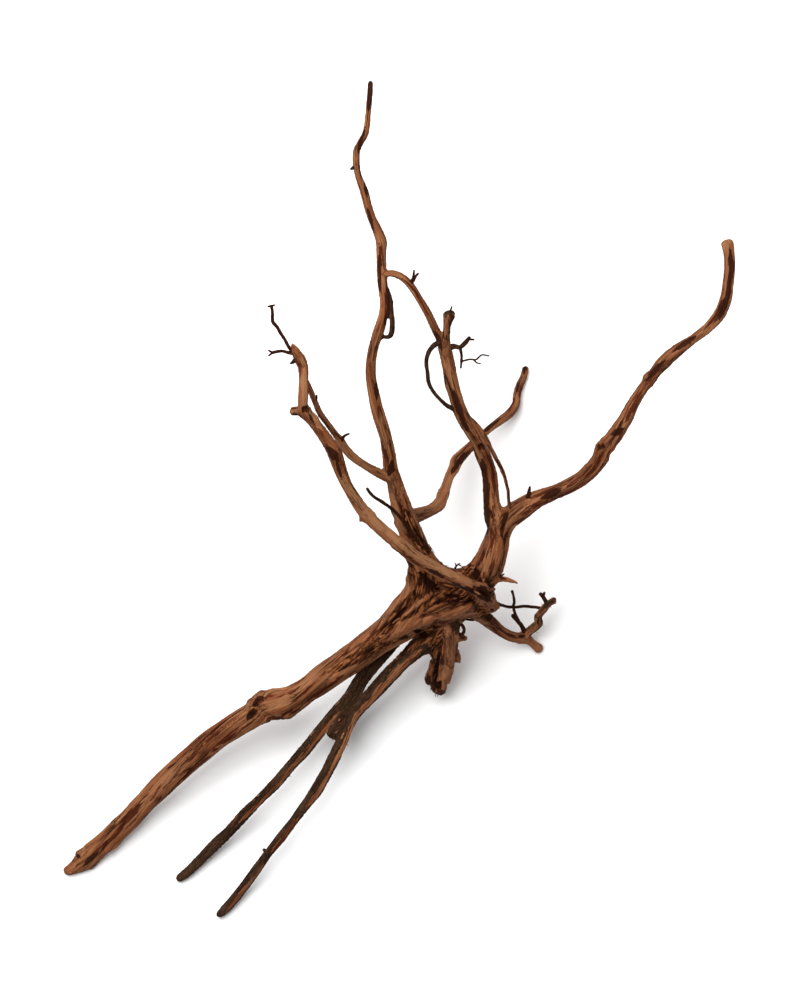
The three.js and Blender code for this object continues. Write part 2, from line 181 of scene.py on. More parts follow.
# Thick limbs, grown together into the main skin. Each has the lobe index that the CAD source gives it.
SKIN_LIMBS = (
    Limb("long_root", (
        (59, -66, 62, 6), (48, -66.5, 62, 8.8), (35, -69.5, 61, 10.6), (20, -73, 60, 12), (5, -79, 58, 12),
        (-8, -86.5, 55, 10.8), (-19, -93.6, 52.5, 10), (-30, -101.6, 50, 9.4), (-40, -108.8, 47.5, 8.6),
        (-50, -116, 45, 8.5), (-60, -123.6, 42.5, 7.9), (-70, -129.4, 40, 8.7), (-80, -132, 38, 9.8),
        (-88, -134, 36.8, 8.9), (-96, -140, 35, 7.8), (-105, -145.4, 33, 7.3), (-120, -155.6, 30, 7.2),
        (-135, -168.4, 26.5, 6.7), (-155, -187, 20.5, 6.8), (-175, -207, 13.5, 6.4),
        (-188, -219.4, 9.6, 5.9), (-197, -227.6, 7.4, 6.1), (-204, -234.4, 5.4, 6),
        (-211.5, -239.4, 3.4, 4.2), (-218, -242.4, 2, 3)), lobe_index=0),
    Limb("long_root_lump", (
        (-200, -229, 7, 4.5), (-206, -230, 8, 3.2), (-210.5, -231.2, 7.4, 2.1)),
         Bark.STREAKED, lobe_index=1),
    Limb("long_root_knot", (
        (-86, -133, 38, 7), (-91, -130, 40, 5.6), (-94, -128.6, 41, 3.4)), lobe_index=2),
    Limb("tall_limb", (
        (-20, -94, 54, 6.4), (-8, -84, 60, 8), (4, -72, 65, 9.6), (14.5, -57.5, 70, 9.4),
        (16.8, -44, 77, 9.2), (12.4, -31, 84, 7.2), (7.6, -20, 89, 7), (3.5, -10, 93, 6.4),
        (0.2, 0, 96, 5.6), (-2.5, 10, 100, 4.9), (-5.3, 20, 105, 4.3), (-6.5, 30, 110, 3.9),
        (-8.5, 40, 115, 3.7), (-11.6, 50, 119, 3.6), (-14.6, 60, 122, 3.5), (-16.6, 70, 124, 3.4),
        (-18.2, 80, 126, 3.3), (-18, 90, 129, 3.2), (-16.2, 100, 133, 3.4), (-12.7, 110, 137, 3.6),
        (-9.8, 120, 140, 3.2), (-9.2, 130, 141.5, 3.3), (-10.7, 140, 142, 3.1), (-11.3, 150, 143, 3),
        (-11.5, 160, 146, 3), (-11.4, 167, 149, 3.3), (-14.3, 175, 152, 2.8), (-17, 181, 153.5, 2.4),
        (-20, 190, 154.5, 2.3), (-22.2, 199, 157, 2.6), (-26.3, 210, 161, 2.2), (-27.5, 217, 162.5, 2.4),
        (-27.5, 225, 163, 2.4), (-25.5, 230, 164, 2.2), (-21.6, 237, 166.5, 2.2), (-19.9, 250, 168, 1.8),
        (-18.6, 264, 168, 1.9), (-18.3, 271, 167.5, 1.7)), lobe_index=3),
    Limb("hanging_spur", (
        (-8.8, 138, 142, 1.6), (-5.8, 130, 143, 1.5), (-4.8, 120, 142.5, 1.5), (-4.5, 111, 141, 1.7),
        (-5.7, 106.2, 139.5, 1.7), (-9, 105.2, 137.5, 1.3), (-12.5, 106.5, 136, 1.2)),
         Bark.BLACK, lobe_index=5),
    Limb("stem", (
        (10, -73, 60, 8.5), (27, -66, 64, 12), (41, -60, 67, 11.4), (51, -52.5, 70, 9.6),
        (56.8, -44, 74, 8.4), (60.6, -35, 78, 7.7), (63.3, -27, 81, 7.5), (65, -19.5, 84.5, 7),
        (67, -14, 87, 5.2)), lobe_index=6),
    Limb("web", (
        (16, -46.5, 71, 7), (24, -50, 68, 10), (37, -54.5, 67, 9.8), (50, -57.5, 67, 8.6)), lobe_index=7),
    Limb("bowed_limb", (
        (63.6, -27, 82, 6.2), (64.2, -19, 85.5, 6.3), (61.5, -10, 89, 5.6), (59.9, 0, 92, 5),
        (59.2, 10, 95.5, 4.7), (57.8, 20, 100.5, 4.4), (54.2, 30, 106, 4.6), (49.5, 40, 112, 4.3),
        (43.3, 50, 117, 4), (38.5, 60, 121, 4.1), (35.6, 70, 124, 4), (33.3, 80, 127, 4),
        (31.3, 90, 130.5, 4.3), (29.3, 98, 134, 4.6), (26.8, 104, 136.5, 3.5), (23.3, 110.5, 139, 2.7),
        (19, 120, 142.5, 2.7), (13, 130, 145.5, 2.6), (7.5, 138.6, 147, 2.8), (3, 143.3, 147, 2.7),
        (-3, 146.2, 145.5, 2.4), (-11, 146.4, 143, 2)), lobe_index=8, grain_from="stem"),
    Limb("knob_stub", (
        (29.6, 96, 134.5, 3.6), (30.3, 104, 139, 2.6), (30.8, 111, 143.5, 2.3), (31.5, 116, 147, 3),
        (32.4, 119.5, 149.5, 3.7), (32.7, 122, 151, 3.1)), Bark.STREAKED, lobe_index=11),
    Limb("reaching_limb", (
        (61.5, -32, 79, 5.8), (65, -21, 84, 6.6), (69.5, -13.5, 87.5, 6.7), (76, -8, 90, 6.7),
        (83, -3.2, 92, 6.4), (91, 1.4, 94.5, 5.1), (100, 5, 98, 4.4), (110, 9.3, 102.5, 4.6),
        (120, 15.6, 106.5, 4.7), (128, 24, 109, 4.9), (132.8, 33, 110.5, 4.7), (140, 42.3, 113, 5),
        (147, 53, 117.5, 4.7), (151, 61, 121, 4), (156.5, 70, 124, 3.8), (163, 79, 125.5, 3.8),
        (171, 88.6, 126, 4.9), (180, 96.8, 127.5, 4.5), (190, 103.8, 130, 3.1), (200.3, 111.8, 133.5, 3.5),
        (207.6, 120.5, 137, 3.9), (211.6, 130.7, 139.5, 3.8), (213.2, 141.5, 140.5, 3.7),
        (214, 151, 140, 3.6), (213.4, 160, 139, 3.4), (211.8, 168.6, 138.5, 4.1)),
         lobe_index=20, grain_from="stem"),
    Limb("reaching_knot", (
        (133, 33.5, 111, 4.2), (130, 36.8, 112.5, 2.4), (128.8, 38, 113, 1.5)), lobe_index=21),
    Limb("reaching_bump", (
        (162, 78.5, 125.5, 3), (159.6, 80.6, 126.5, 2.3), (158.6, 81.4, 127, 1.1)), lobe_index=22),
    Limb("low_limb", (
        (3, -11, 90, 4.6), (10, -10.4, 83, 4.4), (15, -8.9, 75, 3.8), (20, -6.8, 67, 3.5),
        (26.3, -2.2, 57, 3.8), (29, 4.6, 49, 3.2), (31, 10, 44, 2.9), (32.8, 15, 39.5, 2.9),
        (36, 20.5, 34, 3.4), (38, 25.5, 29.5, 3.7), (41.8, 29.6, 26, 3.3), (46.3, 34.2, 23.5, 3),
        (50.4, 38.8, 21.5, 2.5), (54.5, 42.4, 19.5, 2.3), (60, 47.2, 16, 2.4), (65.8, 51.5, 12, 2.7),
        (72.2, 56.6, 7.8, 2.9), (76, 62.5, 5.4, 2.5), (76.6, 68.6, 4, 2.4), (78.2, 74.2, 2.7, 2.5),
        (81, 80.5, 1.6, 2.3), (82.6, 87.4, 1.2, 2.3)), lobe_index=24),
    Limb("low_limb_nub", ((30, 3.6, 50, 2.2), (32.6, 3.2, 50.6, 1)), Bark.STREAKED, lobe_index=25),
    Limb("over_limb", (
        (51, -62, 60, 7.6), (55, -61.8, 72, 6.6), (55.4, -60.8, 84, 5.9), (52.8, -59.2, 94, 5.5),
        (47.5, -56.4, 101, 4.7), (40, -53, 106.5, 4.3), (30, -48, 112.5, 4.1), (20, -42.6, 119, 4.1),
        (10, -36.6, 126, 4.1), (0, -28.5, 132, 3.9), (-10, -20, 137, 4.1), (-20, -10.5, 143, 4),
        (-28, 0, 150, 3.5), (-34, 10, 156, 3.2), (-38, 20, 160.5, 3.8), (-41, 29, 163.5, 4.5),
        (-47.6, 40, 167, 3.8), (-55.3, 50, 171.5, 3.5), (-60.2, 55.8, 175, 3.6), (-62.2, 61, 178.5, 3),
        (-62, 67, 181.5, 3.2), (-61.7, 76, 184, 2.9), (-62, 85, 185, 3.1), (-63.8, 90.6, 186, 3.5),
        (-67.2, 96.4, 188, 2.8), (-69.3, 101.4, 190, 0.8)), lobe_index=26),
    Limb("over_limb_knob", (
        (-60, 56, 175, 3.2), (-65.5, 57.4, 174.5, 2.6), (-70.4, 57.1, 173.5, 3)),
         Bark.STREAKED, lobe_index=27),
    Limb("over_limb_spur", (
        (-21, -9.8, 143, 2.6), (-24.4, -12.8, 144.5, 1.6), (-25.6, -14.8, 145, 0.9)),
         Bark.STREAKED, lobe_index=28),
    Limb("over_limb_nick", ((-1, -29, 132, 2.6), (-4.6, -31.6, 133, 1.1)), lobe_index=29),
    Limb("slim_limb", (
        (0, 8, 100, 3.6), (-4, 12.6, 103, 2.9), (-10, 16, 107, 2.7), (-20, 21.2, 114, 2.4),
        (-30, 28, 122.5, 2.5), (-35, 33.4, 128, 2.6), (-38, 38, 133, 2.8), (-41.5, 42.8, 138.5, 2),
        (-46.3, 49.3, 146, 1.8), (-51, 55.7, 153, 1.9), (-54.1, 62.8, 160.5, 1.8),
        (-56.6, 69.2, 168.5, 1.8), (-59.3, 76, 178, 1.5), (-61.5, 79.5, 184, 1.3)), lobe_index=36),
    Limb("near_root", (
        (16, -74, 56, 8), (3, -84, 47, 5.1), (-8, -96.4, 40.5, 4.8), (-20.4, -111, 35, 4),
        (-26, -119, 33, 3.8), (-31, -128, 31, 4.2), (-39, -136.4, 29, 4), (-50, -148.4, 27, 3.4),
        (-60, -160.8, 25, 3.9), (-70, -172.3, 22, 3.4), (-80, -184, 19.5, 3.6), (-90, -194.2, 17.5, 3.3),
        (-100, -204.3, 15, 3.6), (-110, -215.2, 12, 3.4), (-120, -224.8, 9, 3.6), (-130, -235, 6, 3.4),
        (-139, -243.4, 2.8, 3.2), (-144.6, -247.2, 1.2, 2.3)), Bark.BARKED, 0.3, lobe_index=40),
    Limb("far_root", (
        (30, -78, 56, 9), (21, -88, 50, 7.6), (11, -97, 46, 6.1), (1.4, -106, 44, 5.1), (-9, -117, 42, 4.8),
        (-19.5, -128.2, 40, 4.5), (-28.6, -138, 37.5, 4.1), (-33, -147, 35.5, 3.7),
        (-36.2, -154.5, 34, 3.8), (-39, -161, 32.5, 3.5), (-43.2, -170, 30, 3.6), (-48.6, -180, 27, 3.4),
        (-54.4, -189.6, 24.5, 3.5), (-61.8, -199.5, 22, 3.1), (-69.3, -209.5, 20, 2.8),
        (-77, -219.6, 18, 3.2), (-85, -229.7, 15.5, 2.7), (-92.4, -240, 12.5, 3), (-99.4, -249.8, 9.5, 3.1),
        (-107.4, -260, 6.5, 3.1), (-113.4, -266.6, 4.4, 3), (-118.4, -271, 3, 2.1)),
         Bark.BARKED, 0.3, lobe_index=41),
    Limb("broken_side_root", (
        (-24, -132, 40, 3.6), (-29.4, -136.6, 37, 4.4), (-36, -143.6, 34, 4.7), (-42.5, -150.6, 31.5, 4.3),
        (-45.5, -153.8, 30, 3.6)), Bark.BARKED, 0.4, lobe_index=43),
    Limb("stump", (
        (32, -68, 58, 9), (30.5, -83, 49, 9.8), (28.6, -94, 39, 9.6), (29.4, -104, 30, 7.5),
        (27.4, -112.6, 22.5, 6.4), (26, -119.6, 16, 5.9), (25.5, -125, 11.5, 5)), lobe_index=44),
    Limb("stump_lobe", (
        (26.4, -102, 33, 4.5), (22.4, -110, 26, 3.3), (19.8, -116, 21, 3.1), (20.2, -119.8, 18, 2.4)),
         fillet=0.3, lobe_index=45),
    Limb("stump_shoulder", ((22, -84, 49, 8), (18, -93, 43, 6.4), (19.5, -99, 38, 4)), lobe_index=46),
    Limb("stump_side_spur", (
        (36, -98, 37, 3.4), (39, -104.6, 34, 1.6), (39.8, -106, 33, 0.9)), lobe_index=47),
    Limb("stump_thorn", (
        (36, -87, 46, 3), (41, -89.4, 46, 2.2), (44.9, -90.2, 47, 1)), Bark.STREAKED, lobe_index=48),
    Limb("prop_root", (
        (42, -68, 53, 7), (49.6, -72.6, 45, 5), (55, -76, 38.5, 4), (60, -80, 32, 3.5), (66, -85, 25, 3.1),
        (72, -88.4, 19, 3.1), (78, -89.6, 14, 3), (82.4, -89.8, 10.5, 3), (87, -93.3, 6, 2.5),
        (91, -96.6, 2.7, 3.4), (92.8, -98.2, 1.8, 3.6)), lobe_index=51),
    Limb("prop_fork", (
        (81, -89, 12, 2.6), (84.4, -85.8, 14.5, 2.5), (88.4, -82.9, 17.5, 2.6), (91, -80.2, 20.5, 2.6),
        (90.4, -77.2, 23.5, 2.5), (91.4, -74.7, 26.5, 2.2), (94, -71.5, 30, 2.3), (96.6, -68.2, 34, 2.1),
        (99.2, -66.2, 37, 1.9), (102.3, -65, 39, 2.2)), Bark.STREAKED, lobe_index=52),
    Limb("end_spike", (
        (55, -54, 69, 5), (61.4, -51.6, 71, 3.3), (66, -51.3, 72.5, 2.3), (71, -51.9, 74, 1.7),
        (75, -53.2, 75.5, 1.1), (77.6, -54.4, 76.5, 0.55)), lobe_index=59),
    Limb("torn_end", (
        (46, -66, 61, 8.8), (54.5, -67.2, 60, 7), (60, -69.4, 59, 4.8), (62, -72.4, 58, 2.2)),
         lobe_index=61),
)

# Thin growths, which stay round: each is a piece of twig with its foot sunk in the limb it grows from.
TWIGS = (
    Limb("tall_limb_spur", (
        (-27.5, 216.5, 162.5, 1.7), (-30, 214.5, 163.5, 1.1), (-31.6, 213.8, 164, 0.8)), Bark.BARKED),
    Limb("bow_spur_left", (
        (7.6, 140, 147.5, 1.8), (9.3, 143.4, 149.5, 1.1), (9.8, 149, 152.5, 0.55)), Bark.BLACK),
    Limb("bow_spur_right", (
        (8.6, 141.2, 148.5, 1.4), (10.6, 144.4, 149.5, 1), (12.8, 146.8, 150, 0.65)), Bark.BLACK),
    Limb("knob_spike", ((32.6, 121, 151.5, 0.8), (34.2, 125.4, 154.5, 0.5)), Bark.BLACK),
    Limb("crotch_twig", (
        (30, 97.5, 134, 2.6), (35, 99.4, 135.5, 1.9), (39.5, 99, 138, 1.5), (43, 101.8, 141, 1.6),
        (46, 105.6, 143, 1.2)), Bark.BARKED),
    Limb("crotch_twig_tip", ((44.8, 104, 142, 1), (48.8, 103.8, 144.5, 0.55)), Bark.BLACK),
    Limb("drop_twig", (
        (39.6, 99, 138, 1.1), (40.5, 94, 136, 0.9), (40.5, 89.5, 135.5, 0.9), (39.9, 85, 136, 0.6)),
         Bark.BLACK),
    Limb("fine_twig", (
        (40.4, 89.6, 135.5, 0.75), (46.5, 91, 138, 0.6), (50, 91.2, 139.5, 0.6), (53.6, 93.8, 141, 0.55),
        (58.6, 93.2, 142, 0.5)), Bark.BLACK),
    Limb("fine_twig_fork", (
        (48, 91, 138.6, 0.6), (50.8, 88.7, 141, 0.5), (53, 88.2, 142, 0.5)), Bark.BLACK),
    Limb("loop_twig", (
        (27, 102.5, 137, 2), (23, 100.2, 140, 1.8), (19.6, 96, 142.5, 1.5), (17.8, 90, 143.5, 1.4),
        (18.4, 82, 142, 1.3), (19.6, 74.5, 138.5, 1.3), (22, 70.6, 135.5, 1.2), (25.8, 66, 131, 1.2),
        (30.5, 61.5, 126, 1.4), (37, 58, 121, 1.6)), Bark.BARKED),
    Limb("side_rootlet", (
        (44, 54, 118, 1.9), (51.2, 47.4, 115.5, 1.7), (56.2, 40, 113, 1.5), (60, 32.4, 110.4, 1.4),
        (63, 26.5, 107.4, 1.3), (66.6, 19.5, 103.4, 1.35), (68.8, 13, 100, 1.15), (70.6, 5, 97.5, 1.1),
        (71.2, -2, 96, 1.1), (70.4, -9, 94, 1.1), (69, -15.5, 89, 1.1)), Bark.PEELED),
    Limb("reaching_stub", ((83.5, 0.5, 96, 1.8), (84.4, 6, 98.5, 1.1), (85, 9, 99.5, 0.7)), Bark.BLACK),
    Limb("over_dark_twig", (
        (-67, 95, 187.5, 1.6), (-70.6, 98, 189, 1.25), (-74.6, 105, 189.5, 1.15), (-79, 112, 188.5, 1.15),
        (-81.5, 115, 188.5, 1.25), (-81.5, 120, 190.5, 1.1), (-82.4, 125.4, 193, 1)), Bark.BLACK),
    Limb("over_twig_bar", (
        (-85, 124.6, 193, 0.55), (-82.4, 125.2, 193, 0.8), (-79.8, 126, 193.5, 0.5)), Bark.BLACK),
    Limb("over_side_twig", (
        (-66, 94.4, 187, 1.6), (-71, 95.2, 187.5, 1.15), (-76, 96, 188.5, 1.05), (-82.4, 94.9, 190, 1.1)),
         Bark.BLACK),
    Limb("over_side_tip_up", ((-81.6, 95, 190, 0.8), (-84.4, 96.7, 191.5, 0.6)), Bark.BLACK),
    Limb("over_side_tip_down", ((-81.6, 95, 190, 0.8), (-84.6, 93, 190, 0.6)), Bark.BLACK),
    Limb("over_low_spur", (
        (-65, 91.5, 186, 2), (-68.2, 89.4, 186, 1.4), (-70.4, 87.8, 186.5, 0.6)), Bark.BARKED),
    Limb("slim_limb_spur", (
        (-38, 38, 134, 1.5), (-35, 41.8, 137, 0.9), (-31.8, 43, 138.5, 0.6)), Bark.BLACK),
    Limb("slim_limb_bud", ((-54, 64, 162, 1.3), (-53, 68, 165, 0.6)), Bark.BLACK),
    Limb("laid_twig", (
        (16, -34, 86, 1.5), (12.8, -28.6, 91.5, 1.3), (9.4, -22.5, 96, 1.2), (5, -16.5, 100.5, 1.15),
        (2, -12.6, 103.5, 1.15), (-1.4, -8.9, 106, 1.15), (-5.8, -4.8, 110, 1.15),
        (-11.4, -0.9, 114.5, 1.15), (-15.3, 1.4, 116.5, 1.05), (-18.8, 4.8, 117.5, 1.05), (-21, 8, 118, 1)),
         Bark.BLACK),
    Limb("far_root_spur", ((-86, -229.4, 16, 1.9), (-88.6, -227, 18, 0.8)), Bark.BARKED),
    Limb("curled_rootlet", (
        (36.5, -79, 55, 1.5), (40, -80.4, 57.5, 1.2), (42.3, -84, 57.5, 1.1), (40.6, -87.6, 54, 1.1),
        (37, -86.4, 50, 1.1)), Bark.BLACK),
    Limb("under_twig", ((38, -76, 54, 1.2), (44, -77.7, 52, 0.8), (48.8, -78.3, 51, 0.6)), Bark.BLACK),
    Limb("prop_fork_twig", (
        (96.8, -68.6, 33.5, 1.7), (94.2, -64.2, 38, 1.35), (91.4, -60.4, 41, 1.15)), Bark.BARKED),
    Limb("prop_fork_spur", ((93.4, -63.4, 38.6, 1), (94.7, -59.8, 41.5, 0.85)), Bark.BLACK),
    Limb("prop_fork_lobe", ((91, -76, 25, 2), (88.2, -74.8, 26.5, 1.4)), Bark.STREAKED),
    Limb("prop_dark_twig", (
        (82.4, -88, 12, 2), (80.4, -83.2, 17, 1.5), (77.8, -79.3, 21.5, 1.4), (74.6, -75.8, 26, 1.35),
        (73.4, -74.4, 27, 1.2)), Bark.BLACK),
    Limb("upright_twig", (
        (78, -79.4, 21.5, 1.2), (75.4, -73.8, 29, 1), (74.2, -69.8, 35, 0.95), (75, -66.2, 40, 0.9),
        (74.4, -62.4, 44.5, 0.85), (73.3, -58.8, 48, 1)), Bark.BLACK),
    Limb("cross_twig", (
        (54, -64, 56, 2.2), (62.8, -66.9, 45.5, 1.2), (66.6, -68.2, 40, 1), (70, -69.4, 35.5, 1),
        (76, -69.5, 30, 0.95), (82, -69, 27.6, 0.95), (88, -69.7, 27.8, 1), (94.5, -70.8, 30, 1.1)),
         Bark.BLACK),
    Limb("end_twiglet", ((63, -50.4, 72, 1), (66.4, -49.3, 75, 0.7), (68.4, -47.8, 76, 0.5)), Bark.BLACK),
    Limb("end_twiglet_low", (
        (64.5, -52, 73, 0.9), (67.6, -50.6, 75.6, 0.5), (69.4, -51.4, 76.6, 0.35)), Bark.BLACK),
    Limb("web_twiglet", ((35, -47, 71, 0.9), (37.5, -42.8, 72, 0.6), (39.8, -41, 73.5, 0.4)), Bark.BLACK),
    Limb("web_twiglet_fork", ((37.2, -43.4, 71.8, 0.5), (36.6, -40.8, 73, 0.35)), Bark.BLACK),
    Limb("web_twiglet_hook", ((38.8, -41.8, 72.8, 0.45), (40.6, -43, 74, 0.35)), Bark.BLACK),
)

TRUNK = "trunk"
TRUNK_LIMBS = ("long_root", "tall_limb", "stem", "web", "stump", "stump_shoulder", "stump_lobe",
               "near_root", "far_root", "prop_root", "torn_end", "bowed_limb")

